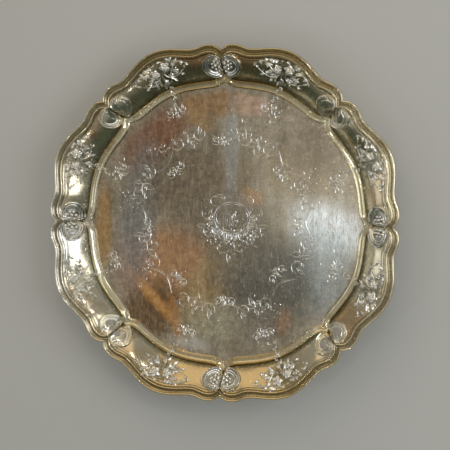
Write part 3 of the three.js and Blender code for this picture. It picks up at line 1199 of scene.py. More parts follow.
@dataclass
class RimMoulding:
    """The reeded rim: outer bead, hollow channel and inner bead."""

    steps: int = 120
    bead_half: float = 1.35 * MM
    bead_rise: float = 1.7 * MM
    inner_half: float = 0.95 * MM
    inner_rise: float = 1.25 * MM
    inner_drop: float = 0.5 * MM
    channel_depth: float = 1.25 * MM
    channel_steps: int = 10
    seat_drop: float = 1.05 * MM
    lip_height: float = 2.6 * MM
    lip_inset: float = 2.75 * MM
    inner_overhang: float = 0.1 * MM
    lip_edge: tuple[Point2, Point2] = ((-0.7 * MM, 0.0), (-0.1 * MM, 0.6 * MM))
    outer_arc: tuple[float, float, int] = (0, 168, 14)
    inner_arc: tuple[float, float, int] = (10, 180, 10)
    notch_turn: float = 0.5
    base: float = 10.0

    def section(self) -> list[Point2]:
        """The rim's section, as offsets from its outline over a base radius.

        Returns:
            Its (across, height) points.
        """
        top = PLAN.field_top + PLAN.rim_rise
        outer = arc_points(
            (-self.bead_half, top - self.bead_rise), (self.bead_half, self.bead_rise), *self.outer_arc)
        inner_centre = -PLAN.rim_width + self.inner_half
        level = top - self.inner_drop - self.inner_rise
        inner = arc_points((inner_centre, level), (self.inner_half, self.inner_rise), *self.inner_arc)
        channel = []
        for part in range(1, self.channel_steps):
            share = part / self.channel_steps
            offset = mix(outer[-1][0], inner[0][0], share)
            level = mix(outer[-1][1], inner[0][1], share)
            channel.append((offset, level - self.channel_depth * math.sin(math.pi * share)))
        seat = PLAN.field_top - self.seat_drop
        low = seat - self.lip_height
        edge = [(-PLAN.rim_width - self.inner_overhang, seat), (-self.lip_inset, seat),
                (-self.lip_inset, low), *((offset, low + rise) for offset, rise in self.lip_edge)]
        return [(self.base + offset, level) for offset, level in [*outer, *channel, *inner, *edge]]

    def place(self, across: float, height: float, fold: float) -> tuple[float, float]:
        """Where a point of the section lies at an angle."""
        return PLAN.beside_rim(fold, across - self.base), height

    def hollow(self, vert: bmesh.types.BMVert) -> float:
        """How much dark deposit a vertex holds: low in the channel and at the notches.

        Args:
            vert: a vertex of the first length.

        Returns:
            The mark, from 0 to 1.
        """
        top, full_depth = PLAN.well_face + PLAN.field_top + PLAN.rim_rise, 2.5 * MM
        return max((top - vert.co.z) / full_depth, 0.9 * math.exp(-fold_at(vert) / self.notch_turn))

    def build(self, finish: bpy.types.Material) -> list[bpy.types.Object]:
        """Sweeps the rim along a panel and turns copies into place.

        Args:
            finish: the material it is given.

        Returns:
            The eight lengths.
        """
        bm = sweep_panel(self.section(), self.place, self.steps)
        mark_hollows(bm, self.hollow)
        return place_round(bm, "rim_moulding", finish, "moulding_silver")


@dataclass
class WellMoulding:
    """The double-ridge moulding round the well."""

    steps: int = 96
    stations: int = 34
    grooves: tuple[float, ...] = (0.0, 0.34, 0.56, 0.72, 1.0)
    groove_half: float = 0.05
    on_face: float = 1.0

    def place(self, across: float, height: float, fold: float) -> tuple[float, float]:
        """Where a point of the section lies at an angle.

        Args:
            across: 1 at the well and 2 at the border field.
            height: a height over the well face, or the mark on_face.
            fold: degrees from the nearest notch.

        Returns:
            The radius and the height over the well face.
        """
        share = across - 1
        radius = PLAN.beside_well(fold, share * PLAN.moulding_width)
        return radius, (height if height < self.on_face else PLAN.moulding_height(share, fold))

    def hollow(self, vert: bmesh.types.BMVert) -> float:
        """How much dark deposit a vertex holds: in the grooves and at the notches.

        Args:
            vert: a vertex of the first length.

        Returns:
            The mark, from 0 to 1.
        """
        fold = fold_at(vert)
        share = (math.hypot(vert.co.x, vert.co.y) - PLAN.well_radius(fold)) / PLAN.moulding_width
        grooves = max(ridge(share, where, self.groove_half) for where in self.grooves)
        beside_notch, least = 0.7 * math.exp(-fold / 1.5), 0.1
        return max(grooves, beside_notch, least)

    def build(self, finish: bpy.types.Material) -> list[bpy.types.Object]:
        """Sweeps the moulding along a panel and turns copies into place.

        Args:
            finish: the material it is given.

        Returns:
            The eight lengths.
        """
        face = [(1 + part / self.stations, self.on_face) for part in range(self.stations + 1)]
        seat = -PLAN.seat_depth
        bm = sweep_panel([*face, (2, seat), (1, seat)], self.place, self.steps)
        mark_hollows(bm, self.hollow)
        return place_round(bm, "well_moulding", finish, "moulding_silver")


def drape(bm: bmesh.types.BMesh, radius: float, turn: float) -> None:
    """Lays flat relief work over the salver's surface.

    Args:
        bm: the work, X outward and Y along the rim, its root below Z = 0.
        radius: where its origin goes.
        turn: plan angle of its origin, in degrees.
    """
    for vert in bm.verts:
        x, y, lift = vert.co
        vert.co = PLAN.lay(radius + x, turn + math.degrees(y / radius), lift)


@dataclass
class NotchOrnament:
    """The raised work on one side of each notch: a shell with pearls, or a plain scroll boss."""

    kind: NotchKind
    far_reach: float
    near_reach: float
    across: float
    rings: tuple[tuple[float, float, float], ...]
    dome: float
    pearls: tuple[tuple[float, float, float], ...] = ()
    from_mitre: float = 8.2 * MM
    stations: int = 44
    steps: int = 72
    root: float = 0.8 * MM
    middle_share: float = 0.47
    crest_spread: float = 1.1
    grime_level: float = 0.82
    grime_rub: float = 0.95
    pearl_sink: float = 0.4
    pearl_seat: float = 0.7

    def outline(self, angle: float) -> Point2:
        """Edge of the ornament at an angle from the way that points away from the mitre."""
        along = mix(self.near_reach, self.far_reach, (1 + math.cos(angle)) / 2)
        return self.across * math.sin(angle), along * math.cos(angle)

    def rise(self, share: float, angle: float) -> float:
        """Height of the work at a share of the way out from its middle.

        Args:
            share: share of the way out from the middle.
            angle: angle from the way that points away from the mitre, in radians.

        Returns:
            The height, in metres.
        """
        opening, fade, power, low_dome = 0.75, 0.7, 0.7, 0.3
        strength = limit((math.cos(angle) + opening) / fade) ** power
        rings = sum(height * ridge(share, where, wide) for where, wide, height in self.rings)
        return self.dome * (1 - share**2) * mix(low_dome, 1, strength) + rings * strength

    def flat(self, side: int) -> bmesh.types.BMesh:
        """Builds the work flat, for one side of a notch (1 or -1).

        Args:
            side: 1 or -1, the side of the notch.

        Returns:
            A bmesh with X outward and Y along the rim.
        """
        face = [(part / self.stations, 1.0) for part in range(self.stations, -1, -1)]
        section = [(0, 0), (1, 0), *face]
        bm = spin_section(section, 360, self.steps)
        layer = bm.verts.layers.float.new("hollow")
        for vert in bm.verts:
            share = min(math.hypot(vert.co.x, vert.co.y), 1)
            angle = math.atan2(vert.co.y, vert.co.x)
            x, y = self.outline(angle)
            lift = self.rise(share, angle) if vert.co.z > 0.5 else -self.root
            crests = (ridge(share, where, wide * self.crest_spread) for where, wide, _ in self.rings)
            crest = max(crests, default=0)
            vert[layer] = limit(self.grime_level - self.grime_rub * crest)
            vert.co = (x * share, side * y * share, lift)
        for across, along, size in self.pearls:
            centre = Vector((across, side * along, size * self.pearl_sink + self.dome * self.pearl_seat))
            add_ball(bm, centre, Vector((size, size, size)), fine=2)
        return bm

    def build(self, index: int, side: int, finish: bpy.types.Material) -> bpy.types.Object:
        """Builds the ornament of one panel.

        Args:
            index: the panel, from 0.
            side: 1 at the panel's first mitre, -1 at its last.
            finish: its material.

        Returns:
            The piece.
        """
        middle = PLAN.shoulder_radius - PLAN.border_width / 2
        fold = math.degrees(self.from_mitre / middle)
        radius = mix(PLAN.field_inner(fold), PLAN.field_outer(fold), self.middle_share)
        bm = self.flat(side)
        drape(bm, radius, index * PLAN.panel_angle + (fold if side > 0 else PLAN.panel_angle - fold))
        name = f"{self.kind.value}_{index + 1}"
        return Piece(f"{name}_visual", bm, finish, "ornament_silver", (name,)).place()


PEARLS = (
    (-5.0, -3.8, 1.7), (-1.2, -4.9, 2.0), (2.9, -4.6, 1.9), (6.4, -3.0, 1.5), (-3.0, -0.9, 1.8),
    (0.9, -1.1, 2.1), (4.6, -0.3, 1.6), (-0.9, 2.5, 1.5), (2.6, 2.4, 1.4),
)
SHELL = NotchOrnament(
    NotchKind.MAIN, far_reach=14.5 * MM, near_reach=7.4 * MM, across=12 * MM, dome=0.9 * MM,
    rings=((0.92, 0.085, 2.3 * MM), (0.72, 0.08, 1.9 * MM), (0.54, 0.075, 1.5 * MM)),
    pearls=tuple((across * MM, along * MM, size * MM) for across, along, size in PEARLS))
SCROLL_BOSS = NotchOrnament(
    NotchKind.MINOR, far_reach=14 * MM, near_reach=7.2 * MM, across=12 * MM, dome=1.2 * MM,
    rings=((0.92, 0.08, 1.5 * MM), (0.74, 0.07, 1.0 * MM), (0.56, 0.06, 0.7 * MM)),
    grime_level=0.5, grime_rub=0.5)


def scaled(points: Sequence[Point2]) -> list[Point2]:
    """Plan points given in millimetres, in metres."""
    return [(x * MM, y * MM) for x, y in points]


@dataclass(frozen=True)
class Tendril:
    """A curved stem with leaves, in millimetres and degrees.

    The points are four control points in plan. Each leaf has its place along the stem, its
    turn from the stem's heading, its length and its width.
    """

    points: tuple[Point2, ...]
    thick: float
    leaves: tuple[tuple[float, float, float, float], ...]


HOOK_LEAVES = ((0.4, 50, 6, 3.2), (0.65, -50, 5, 2.8), (0.97, 5, 5, 2.8))
SIDE_LEAVES = (
    (0.3, 60, 7, 3.4), (0.45, -65, 6, 3), (0.62, 55, 6, 3), (0.78, -60, 5, 2.6), (0.97, 10, 5, 2.6),
)
DOWN_LEAVES = (
    (0.22, 55, 7, 3.4), (0.32, -55, 7, 3.4), (0.5, 60, 6, 2.8), (0.6, -60, 6, 2.8),
    (0.8, 50, 5, 2.4), (0.85, -50, 5, 2.4), (0.97, 25, 5, 2.2), (0.97, -30, 5, 2.2),
)


def mirrored(leaves: tuple[tuple[float, float, float, float], ...]) -> tuple[tuple[float, ...], ...]:
    """The same leaves on the other side of the stem."""
    return tuple((where, -swing, *size) for where, swing, *size in leaves)


SIDE_TENDRILS = (
    Tendril(((-2, -8), (6, -14), (8, -20), (3, -24)), 0.7, HOOK_LEAVES),
    Tendril(((-2, 8), (5, 14), (8, 21), (2, 25)), 0.7, mirrored(HOOK_LEAVES)),
    Tendril(((0, -2), (-7, -4), (-8, -13), (-1, -22)), 0.75, SIDE_LEAVES),
    Tendril(((0, 2), (-8, 4), (-9, 13), (-2, 23)), 0.75, mirrored(SIDE_LEAVES)),
)
HANGING_TENDRIL = Tendril(((0, 0), (-8, 3), (-16, -4), (-27, 2)), 0.8, DOWN_LEAVES)

# Heading, length and root of the leaves round the roses, in degrees and millimetres.
LEAF_BED = (
    (-40, 5, (8, -8)), (5, 4, (8.5, -2)), (40, 6, (6, 6)), (78, 9, (3, 9.5)),
    (-82, 9, (4, -10)), (100, 9, (-1, 8)), (-112, 9, (0, -9)), (150, 9, (-2, 4)),
    (-150, 9, (-2, -5)), (-60, 8, (7, -9)), (62, 8, (6, 8)), (180, 8, (-4, 0)),
)

# Place and size of the buds on each side of the spray, in millimetres.
BUDS = (
    (9.5, 3.5, 0.9), (9.0, 12.5, 0.8), (1.5, 15, 0.9), (-5.5, 9.5, 0.8),
    (6, 17.5, 0.8), (-3, 18.5, 0.7), (2.5, 20.5, 0.8), (-8.5, 5, 0.7),
)


@dataclass
class FlowerSpray:
    """Two open roses with leaves and tendrils, across the middle of a panel."""

    rose_radius: float = 6.0 * MM
    petal_height: float = 1.3 * MM
    heart_height: float = 1.1 * MM
    heart_share: float = 0.2
    bead_ring: float = 0.27
    beads: int = 6
    small_rose: float = 0.86
    leaf_width: float = 3.9 * MM
    leaf_height: float = 1.3 * MM
    tendril_leaf_height: float = 1.0 * MM
    stem_steps: int = 16
    spread: float = 1.2
    boldness: float = 1.7
    seed: int = 7
    rng: random.Random = field(init=False)

    def __post_init__(self) -> None:
        """Seeds the small differences between petals."""
        self.rng = random.Random(self.seed)

    def rose(self, bm: bmesh.types.BMesh, centre: Point2, radius: float, turn: float) -> None:
        """Adds an open rose: two rings of petals round a beaded heart.

        Args:
            bm: the bmesh to add it to.
            centre: its middle, in plan.
            radius: from its middle to its petals' tips.
            turn: the first petal's heading, in degrees.
        """
        for count, reach, width, lift, start in ((5, 1.0, 0.78, 0.0, 0.0), (5, 0.62, 0.5, 0.5, 36.0)):
            for index in range(count):
                angle = turn + start + index * 360 / count + self.rng.uniform(-4, 4)
                verts = add_leaf(bm, centre, angle, radius * reach, radius * width,
                                 self.petal_height * (0.9 + lift))
                bmesh.ops.translate(bm, verts=verts, vec=(0, 0, lift * MM))
        heart = Vector((centre[0], centre[1], self.heart_height))
        wide = radius * self.heart_share
        add_ball(bm, heart, Vector((wide, wide, self.heart_height)))
        for index in range(self.beads):
            angle = math.radians(turn + index * 360 / self.beads)
            bead = heart + Vector((math.cos(angle), math.sin(angle), 0)) * radius * self.bead_ring
            add_ball(bm, bead, Vector((0.5, 0.5, 0.6)) * MM, fine=1)

    def tendril(self, bm: bmesh.types.BMesh, plan: Tendril) -> None:
        """Adds a curved stem with leaves along it.

        Args:
            bm: the bmesh to add it to.
            plan: the stem and its leaves.
        """
        points = [Vector((x, y, 0)) for x, y in scaled(plan.points)]
        thick, reach, bend_back = plan.thick * MM, 0.02, -0.4
        shares = [step / self.stem_steps for step in range(self.stem_steps + 1)]
        path = [along_curve(points, share) for share in shares]
        halves = [(thick * mix(1, 0.35, share), thick * mix(1.3, 0.5, share)) for share in shares]
        run_bar(bm, path, halves)
        for where, swing, length, width in plan.leaves:
            root = along_curve(points, where)
            ahead = (along_curve(points, min(where + reach, 1))
                     - along_curve(points, max(where - reach, 0)))
            heading = math.degrees(math.atan2(ahead.y, ahead.x)) + swing
            add_leaf(bm, (root.x, root.y), heading, length * MM, width * MM,
                     self.tendril_leaf_height, bend=swing * bend_back, lobes=4)

    def flat(self) -> bmesh.types.BMesh:
        """Builds the spray flat, X outward and Y along the rim.

        Returns:
            A new bmesh.
        """
        bm = bmesh.new()
        self.rose(bm, (4.2 * MM, -5.0 * MM), self.rose_radius, 12)
        self.rose(bm, (1.4 * MM, 5.6 * MM), self.rose_radius * self.small_rose, 40)
        for heading, length, root in LEAF_BED:
            add_leaf(bm, scaled([root])[0], heading, length * MM, self.leaf_width,
                     self.leaf_height, bend=15, lobes=4)
        for plan in SIDE_TENDRILS:
            self.tendril(bm, plan)
        for side in (-1, 1):
            for x, y, size in BUDS:
                bud = Vector((x, side * y, 0.5)) * MM
                add_ball(bm, bud, Vector((size, size, size)) * MM, fine=1)
        self.tendril(bm, HANGING_TENDRIL)
        return bm

    def build(self, finish: bpy.types.Material) -> list[bpy.types.Object]:
        """Lays the spray over one panel and turns copies into place.

        Args:
            finish: the material it is given.

        Returns:
            The eight sprays.
        """
        bm = self.flat()
        clean_lift = 0.3 * MM
        mark_hollows(bm, lambda vert: 1 - (vert.co.z + clean_lift) / self.leaf_height)
        bmesh.ops.scale(bm, verts=bm.verts, vec=(self.spread, self.spread, self.boldness))
        radius = mix(PLAN.field_inner(PLAN.half_panel), PLAN.field_outer(PLAN.half_panel), 0.5)
        drape(bm, radius, PLAN.half_panel)
        return place_round(bm, "flower_spray", finish, "ornament_silver")


@dataclass
class ScrollFoot:
    """A cast scroll foot with a leaf pad under the plate."""

    turn: float
    number: int
    distance: float = 138 * MM
    spread: float = 17 * MM
    half_width: float = 5.2 * MM
    knee_drop: float = 1.6 * MM
    knee: tuple[tuple[float, float], ...] = ((-6, 1), (-7.5, 0.62), (1, 0.42), (9, 0.62), (14.5, 0.4))
    toe_height: float = 2.2 * MM
    path_steps: int = 8
    coil_steps: int = 26
    coil_loss: float = 0.78
    leaves: int = 7
    leaf_fan: float = 66
    leaf_size: tuple[float, float, float] = (11 * MM, 6.4 * MM, 1.6 * MM)
    leaf_drop: float = 0.8 * MM
    pad: tuple[Point2, ...] = ((0, 0), (6.6, 0), (7, 0.5), (7, 1.5), (6.2, 2.3), (4, 2.7), (0, 2.9))

    def leg_path(self) -> list[Vector]:
        """The scroll in side view: a curl at the knee, an S curve and a curl at the toe.

        Returns:
            Points along the leg, from the knee to the toe.
        """
        box_low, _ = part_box(f"foot_{self.number}")
        high = PLAN.well_face - PLAN.plate_thickness - self.knee_drop - box_low.z
        knots = [Vector((out * MM, 0, high * share)) for out, share in self.knee]
        knots.append(Vector((self.spread, 0, self.toe_height)))
        path = []
        for first in range(len(knots) - 1):
            a, b = knots[max(first - 1, 0)], knots[first]
            c, d = knots[first + 1], knots[min(first + 2, len(knots) - 1)]
            for step in range(self.path_steps):
                t = step / self.path_steps
                path.append(0.5 * (2 * b + (c - a) * t + (2 * a - 5 * b + 4 * c - d) * t * t
                                   + (3 * b - a - 3 * c + d) * t**3))
        return [*path, knots[-1]]

    def volutes(self) -> list[tuple[Vector, float, float, float]]:
        """Centre, turns, first angle and radius of the curls at the knee and the toe.

        Returns:
            A (centre, turns, start, size) for each curl.
        """
        high = PLAN.well_face - PLAN.plate_thickness
        return [(Vector((-5 * MM, 0, high * 0.6)), -1.4, 90, 4.2 * MM),
                (Vector((12.5 * MM, 0, high * 0.42)), 1.3, 60, 3.6 * MM)]

    def coil(self, centre: Vector, turns: float, start: float, size: float) -> list[Vector]:
        """Points of a flat coil that tightens towards its middle.

        Args:
            centre: its middle.
            turns: turns it makes, negative for the other way.
            start: its first angle, in degrees.
            size: its first radius.

        Returns:
            Points along the coil.
        """
        points = []
        for step in range(self.coil_steps + 1):
            t = step / self.coil_steps
            angle = math.radians(start + 360 * turns * t)
            reach = size * (1 - self.coil_loss * t)
            points.append(centre + Vector((math.cos(angle), 0, math.sin(angle))) * reach)
        return points

    def build(self, finish: bpy.types.Material) -> bpy.types.Object:
        """Builds the foot and turns it under its corner.

        Args:
            finish: the material it is given.

        Returns:
            The foot.
        """
        bm = bmesh.new()
        path = self.leg_path()
        count = len(path) - 1
        halves = [(self.half_width * mix(1, 0.72, step / count), mix(2.6, 1.9, step / count) * MM)
                  for step in range(count + 1)]
        across = Vector((0, 1, 0))
        run_bar(bm, path, halves, 16, across)
        shares = [step / self.coil_steps for step in range(self.coil_steps + 1)]
        coil_halves = [(self.half_width * mix(1.12, 1.3, share), mix(1.2, 0.7, share) * MM)
                       for share in shares]
        for centre, turns, start, size in self.volutes():
            run_bar(bm, self.coil(centre, turns, start, size), coil_halves, 12, across)
        leaves = bmesh.new()
        inner_root, outer_root, outer_fan = (-4 * MM, 0), (2 * MM, 0), 0.6
        for index in range(self.leaves):
            swing = mix(-self.leaf_fan, self.leaf_fan, index / (self.leaves - 1))
            add_leaf(leaves, inner_root, 180 + swing, *self.leaf_size)
            add_leaf(leaves, outer_root, swing * outer_fan, *self.leaf_size)
        bmesh.ops.scale(leaves, verts=leaves.verts, vec=(1, 1, -1))
        under = PLAN.well_face - PLAN.plate_thickness - self.leaf_drop
        bmesh.ops.translate(leaves, verts=leaves.verts, vec=(0, 0, under))
        absorb(bm, leaves)
        pad = spin_section(scaled(self.pad), 360, 40)
        bmesh.ops.translate(pad, verts=pad.verts, vec=(self.spread, 0, 0))
        absorb(bm, pad)
        grime = 0.75
        mark_hollows(bm, lambda vert: grime - grime * limit(abs(vert.co.y) / self.half_width))
        bmesh.ops.translate(bm, verts=bm.verts, vec=(self.distance, 0, 0))
        turn_about(bm, bm.verts, self.turn)
        name = f"foot_{self.number}"
        return Piece(f"{name}_visual", bm, finish, "foot_silver", (name,)).place()


# Scrolls on each side of the wreath: place out and up, radius, start and its lean, turn,
# curl and weight, in millimetres and degrees.
WREATH_SCROLLS = (
    (25, 4, 9, 90, -60, -200, 0.6, 0.8),
    (24, -16, 10, 90, 20, -230, 0.65, 0.9),
    (14, -21, 6, 200, -20, 240, 0.6, 1.4),
    (11, -31, 9, 60, 80, 210, 0.6, 0.8),
    (18, 19, 7, 270, 0, 220, 0.6, 1.2),
)

# Leaves on each side of the wreath: place out and up, heading and its lean, length, bend.
WREATH_LEAVES = ((6, -40, 250, -60, 10, 30), (30, -8, 90, -120, 10, 25), (8, 20, 90, -30, 9, -30))


@dataclass
class Engraving:
    """Bright-cut lines in the well: a wreathed oval in the middle and a ring of scrollwork."""

    line: float = 0.42 * MM
    rise: float = 0.24 * MM
    swag_steps: int = 12
    seed: int = 21
    rng: random.Random = field(init=False)
    bm: bmesh.types.BMesh = field(init=False)

    def __post_init__(self) -> None:
        """Starts an empty mesh and seeds the hand's unevenness."""
        self.rng = random.Random(self.seed)
        self.bm = bmesh.new()

    def cut(self, points: Sequence[Point2], weight: float = 1.0) -> None:
        """Cuts one line through points given in metres, thin at both ends.

        Args:
            points: plan points along the line.
            weight: thickness of the line.
        """
        count = len(points) - 1
        path = [Vector((x, y, PLAN.well_face)) for x, y in points]
        halves = []
        for step in range(count + 1):
            swell_here = math.sin(math.pi * limit(step / count, 0.06, 0.94)) ** 0.6
            halves.append((self.line * weight * swell_here, self.rise * swell_here))
        run_bar(self.bm, path, halves, 4)

    def scroll(self, centre: Point2, radius: float, start: float, sweep: float, curl: float = 0.55,
               weight: float = 1.0) -> None:
        """Cuts a C scroll that tightens towards its end.

        Args:
            centre: its middle, in metres.
            radius: at its start.
            start: angle where it starts, in degrees.
            sweep: how far it turns.
            curl: share of the radius lost along it.
            weight: thickness of the line.
        """
        steps = max(6, int(abs(sweep) / 22))
        points = []
        for step in range(steps + 1):
            t = step / steps
            angle = math.radians(start + sweep * t)
            reach = radius * (1 - curl * t**1.5)
            points.append((centre[0] + reach * math.cos(angle), centre[1] + reach * math.sin(angle)))
        self.cut(points, weight)

    def leaf(self, root: Point2, heading: float, length: float, bend: float = 30) -> None:
        """Cuts a small leaf: two curved sides and a vein.

        Args:
            root: where it starts, in metres.
            heading: the way it points, in degrees.
            length: from root to tip.
            bend: how far its tip swings sideways, in degrees.
        """
        for side in (-1, 0, 1):
            points = []
            for step in range(7):
                t = step / 6
                angle = math.radians(heading + bend * t)
                out = side * 0.2 * length * math.sin(math.pi * t)
                points.append((root[0] + length * t * math.cos(angle) - out * math.sin(angle),
                               root[1] + length * t * math.sin(angle) + out * math.cos(angle)))
            self.cut(points, 0.8 if side else 0.5)

    @staticmethod
    def at(radius: float, turn: float) -> Point2:
        """The plan point at a radius and an angle."""
        return radius * math.cos(math.radians(turn)), radius * math.sin(math.radians(turn))

    def nicks(self, centre: Point2, spread: float, count: int) -> None:
        """Cuts a cloud of short bright curved nicks round a place.

        Args:
            centre: middle of the cloud, in metres.
            spread: its reach.
            count: number of nicks.
        """
        for _ in range(count):
            x = centre[0] + self.rng.gauss(0, 0.5) * spread
            y = centre[1] + self.rng.gauss(0, 0.5) * spread
            heading = self.rng.uniform(40, 140) if self.rng.random() < 0.6 else self.rng.uniform(0, 180)
            length, bend = self.rng.uniform(1.6, 4.2) * MM, self.rng.uniform(-50, 50)
            points = []
            for step in range(4):
                angle = math.radians(heading + bend * step / 3)
                reach = length * step / 3
                points.append((x + reach * math.cos(angle), y + reach * math.sin(angle)))
            self.cut(points, self.rng.uniform(0.7, 1.5))

    def oval(self, centre: Point2, halves: Point2, weight: float = 1.0) -> None:
        """Cuts an oval line in eight strokes.

        Args:
            centre: its middle, in metres.
            halves: its half width and half height.
            weight: thickness of the line.
        """
        for part in range(8):
            points = arc_points(centre, halves, part * 45 - 1, part * 45 + 46, 6)
            self.cut(points, weight)

    def wreath(self, centre: Point2) -> None:
        """The middle of the well: an oval in a wreath, with scrolls and ribbons below it.

        Args:
            centre: middle of the oval, in metres.
        """
        x, y = centre
        self.oval(centre, (20 * MM, 17 * MM), 1.7)
        self.oval(centre, (17.6 * MM, 14.8 * MM), 0.9)
        leaf_ring, last_leaf, leaf_bend = (20.5 * MM, 17.5 * MM), 25, -35
        for index in range(last_leaf + 1):
            angle = math.radians(180 + index * 180 / last_leaf)
            root = (x + leaf_ring[0] * math.cos(angle), y + leaf_ring[1] * math.sin(angle))
            heading = math.degrees(angle) + self.rng.uniform(35, 60)
            self.leaf(root, heading, self.rng.uniform(6, 8) * MM, leaf_bend)
        for side in (-1, 1):
            for out, up, radius, start, lean, turn, curl, weight in WREATH_SCROLLS:
                middle = (x + side * out * MM, y + up * MM)
                self.scroll(middle, radius * MM, start + side * lean, side * turn, curl, weight)
            self.nicks((x + side * 20 * MM, y - 17 * MM), 12 * MM, 64)
            self.nicks((x + side * 25 * MM, y + 2 * MM), 8 * MM, 14)
            for out, up, heading, lean, length, bend in WREATH_LEAVES:
                root = (x + side * out * MM, y + up * MM)
                self.leaf(root, heading + side * lean, length * MM, side * bend)
        self.nicks((x, y - 25 * MM), 14 * MM, 80)
        self.nicks((x, y - 3 * MM), 9 * MM, 24)
        last_line, half_row = 8, 10
        for index in range(last_line + 1):
            across = mix(-half_row, half_row, index / last_line)
            self.cut([((x + across * MM), y - 8 * MM), (x + across * MM, y - 3 * MM),
                      (x + (across + 0.6) * MM, y + mix(4, 8, self.rng.random()) * MM)], 0.5)

    def spray(self, radius: float, turn: float, size: float) -> None:
        """A bunch of leaves between two scrolls, pointing at the middle of the well.

        Args:
            radius: distance from the middle of the well.
            turn: plan angle in degrees.
            size: length of its leaves.
        """
        root, apart = self.at(radius, turn), 1.15
        for side in (-1, 1):
            centre = self.at(radius, turn + side * math.degrees(size * apart / radius))
            self.scroll(centre, size * 0.75, turn + 180 - side * 90, side * 250, 0.62, 1.2)
            self.scroll(centre, size * 0.55, turn - side * 60, side * 190, 0.6, 0.8)
            self.leaf(root, turn + 180 + side * 38, size * apart, side * 25)
            self.leaf(centre, turn + side * 70, size * 0.9, -side * 40)
        self.nicks(root, size * 1.1, 12)
        self.leaf(root, turn + 180 + self.rng.uniform(-8, 8), size * 1.3, 8)
        self.leaf(root, turn, size * 0.8, 10)

    def swag(self, radius: float, start: float, end: float, dip: float) -> None:
        """A double line that hangs between two sprays.

        Args:
            radius: distance of its ends from the middle of the well.
            start: plan angle of one end, in degrees.
            end: plan angle of the other end.
            dip: how far its middle hangs inward.
        """
        shares = [step / self.swag_steps for step in range(self.swag_steps + 1)]
        for gap, weight in ((0.0, 1.0), (1.6 * MM, 0.6)):
            self.cut([self.at(radius - gap - dip * math.sin(math.pi * t), mix(start, end, t))
                      for t in shares], weight)

    def build(self, finish: bpy.types.Material) -> bpy.types.Object:
        """Cuts the whole design.

        Args:
            finish: the material it is given.

        Returns:
            The engraving.
        """
        self.wreath((8 * MM, 6 * MM))
        for index in range(PLAN.panels):
            middle = (index + 0.5) * PLAN.panel_angle + self.rng.uniform(-4, 4)
            self.spray(self.rng.uniform(93, 103) * MM, middle, self.rng.uniform(10, 12.5) * MM)
            self.nicks(self.at(132 * MM, middle), 12 * MM, 16)
            self.spray(self.rng.uniform(127, 134) * MM, middle, 6 * MM)
            self.swag(99 * MM, middle + 12, middle + 33, 9 * MM)
            inner_ring = self.rng.uniform(80, 90) * MM
            self.spray(inner_ring, index * PLAN.panel_angle + self.rng.uniform(-5, 5), 6 * MM)
            self.nicks(self.at(110 * MM, middle + self.rng.uniform(8, 20)), 16 * MM, 18)
        foot, low_grime, top_grime = PLAN.well_face + 0.02 * MM, 0.7, 0.1
        mark_hollows(self.bm, lambda vert: low_grime if vert.co.z < foot else top_grime)
        return Piece("well_engraving", self.bm, finish, "well_silver", ()).place()


# ---------------------------------------------------------------- studio


@dataclass(frozen=True)
class SoftBox:
    """A square area light that faces the salver."""

    name: str
    azimuth: float
    elevation: float
    distance: float
    size: float
    radiance: float
    colour: Colour

    def hang(self, target: Vector) -> None:
        """Adds the light, aimed at the target.

        Args:
            target: the point it faces.
        """
        a, e = math.radians(self.azimuth), math.radians(self.elevation)
        way = Vector((math.cos(a) * math.cos(e), math.sin(a) * math.cos(e), math.sin(e)))
        data = bpy.data.lights.new(self.name, "AREA")
        data.size, data.color = self.size, self.colour
        data.energy = self.radiance * math.pi * self.size**2
        lamp = bpy.data.objects.new(self.name, data)
        lamp.location = target + way * self.distance
        lamp.rotation_euler = (-way).to_track_quat("-Z", "Y").to_euler()
        bpy.context.collection.objects.link(lamp)


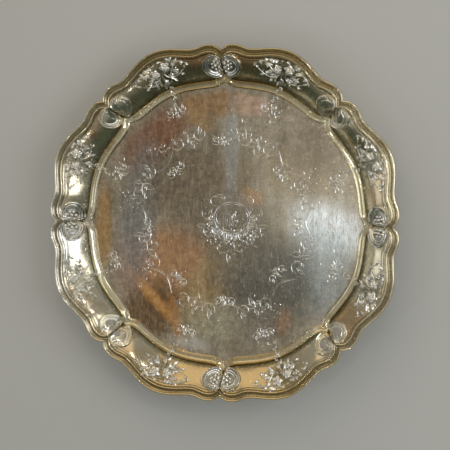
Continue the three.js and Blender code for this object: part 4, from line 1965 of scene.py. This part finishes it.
@dataclass
class Studio:
    """The pale floor, the soft lights and the camera."""

    pitch: float = 3.72
    yaw: float = -13.3
    roll: float = -0.18
    distance: float = 1.496
    slide: Point2 = (-5.6 * MM, 0.7 * MM)
    focal: float = 111.04
    sensor: float = 36
    floor_half: float = 6
    floor_paint: Colour = (0.62, 0.63, 0.62)
    floor_roughness: float = 0.8
    room: Colour = (0.3, 0.295, 0.28)
    room_in_front: Colour = (0.07, 0.085, 0.065)
    ceiling: Colour = (0.3, 0.28, 0.25)
    boxes: tuple[SoftBox, ...] = (
        SoftBox("window", 8, 44, 1.7, 0.95, 2.0, (0.95, 0.98, 1.0)),
        SoftBox("overhead", 209, 82.5, 2.4, 0.3, 1.6, (0.93, 0.98, 1.0)),
        SoftBox("warm_ceiling", 100, 36, 2.2, 2.1, 0.62, (1.0, 0.8, 0.52)),
        SoftBox("left_fill", 185, 22, 2.2, 1.0, 0.75, (0.96, 0.98, 1.0)),
        SoftBox("glint", 60, 62, 2.0, 0.1, 30, (1.0, 0.98, 0.94)),
        SoftBox("back_glint", 205, 52, 2.0, 0.1, 26, (0.96, 0.98, 1.0)),
        SoftBox("front_glint", 285, 58, 2.0, 0.08, 30, (0.95, 1.0, 0.98)),
        SoftBox("flash", 15, 76, 1.55, 0.05, 160, (1.0, 1.0, 1.0)),
    )

    def floor(self) -> None:
        """A wide pale floor under the feet."""
        bm = bmesh.new()
        bmesh.ops.create_grid(bm, x_segments=1, y_segments=1, size=self.floor_half)
        mesh = bpy.data.meshes.new("floor")
        bm.to_mesh(mesh)
        bm.free()
        made = bpy.data.objects.new("floor", mesh)
        bpy.context.collection.objects.link(made)
        paint = bpy.data.materials.new("pale_floor")
        paint.use_nodes = True
        shader = paint.node_tree.nodes["Principled BSDF"]
        shader.inputs["Base Color"].default_value = (*self.floor_paint, 1)
        shader.inputs["Roughness"].default_value = self.floor_roughness
        mesh.materials.append(paint)

    def world(self) -> None:
        """A dim room: paler to the left and overhead, darker and greener in front."""
        world = bpy.data.worlds.new("room")
        bpy.context.scene.world = world
        world.use_nodes = True
        world.node_tree.nodes.clear()
        bench = NodeBench(world.node_tree)
        way = bench.place("ShaderNodeTexCoord").outputs["Generated"]
        parts = bench.place("ShaderNodeSeparateXYZ", {0: way}).outputs
        front = bench.between(parts["Y"], low=0.25, high=-0.55)
        high = bench.between(parts["Z"], low=0.35, high=0.95)
        room = bench.blend(front, self.room, self.room_in_front)
        shade = bench.blend(high, room, self.ceiling)
        back = bench.place("ShaderNodeBackground", {"Color": shade, "Strength": 1.0})
        output = bench.place("ShaderNodeOutputWorld")
        bench.tree.links.new(back.outputs[0], output.inputs[0])

    def camera(self) -> None:
        """A long lens nearly square over the well, seen a little from the right and above."""
        turn = (Matrix.Rotation(math.radians(self.roll), 3, "Z")
                @ Matrix.Rotation(math.radians(self.pitch), 3, "X")
                @ Matrix.Rotation(math.radians(self.yaw), 3, "Y"))
        back = turn.transposed()
        place = -(back @ Vector((*self.slide, -self.distance)))
        place.z += CAD_HIGH.z - 1 * MM
        data = bpy.data.cameras.new("camera")
        data.lens, data.sensor_width = self.focal, self.sensor
        made = bpy.data.objects.new("camera", data)
        made.matrix_world = Matrix.Translation(place) @ back.to_4x4()
        bpy.context.collection.objects.link(made)
        bpy.context.scene.camera = made

    def build(self) -> None:
        """Sets up everything round the salver."""
        self.camera()
        self.floor()
        self.world()
        for box in self.boxes:
            box.hang(Vector((0, 0, PLAN.well_face)))
        bpy.context.scene.view_settings.view_transform = "Standard"


def main() -> None:
    """Builds the salver, piece by piece, and the studio round it."""
    logging.basicConfig(level=logging.INFO, format="%(name)s: %(message)s")
    Studio().build()
    effects = Effects()
    well, border, moulding, ornament, boss, foot, engraved = (
        finish.material(effects) for finish in (WELL, BORDER, MOULDING, ORNAMENT, BOSS, FOOT, ENGRAVED))
    WellPlate().build(well)
    Engraving().build(engraved)
    BorderPanels().build(border)
    RimMoulding().build(moulding)
    WellMoulding().build(moulding)
    FlowerSpray().build(ornament)
    for index in range(PLAN.panels):
        side = 1 if index % 2 == 0 else -1
        SHELL.build(index, side, ornament)
        SCROLL_BOSS.build(index, -side, boss)
    for index in range(FEET):
        ScrollFoot((index + 0.5) * 360 / FEET, index + 1).build(foot)


if __name__ == "__main__":
    main()
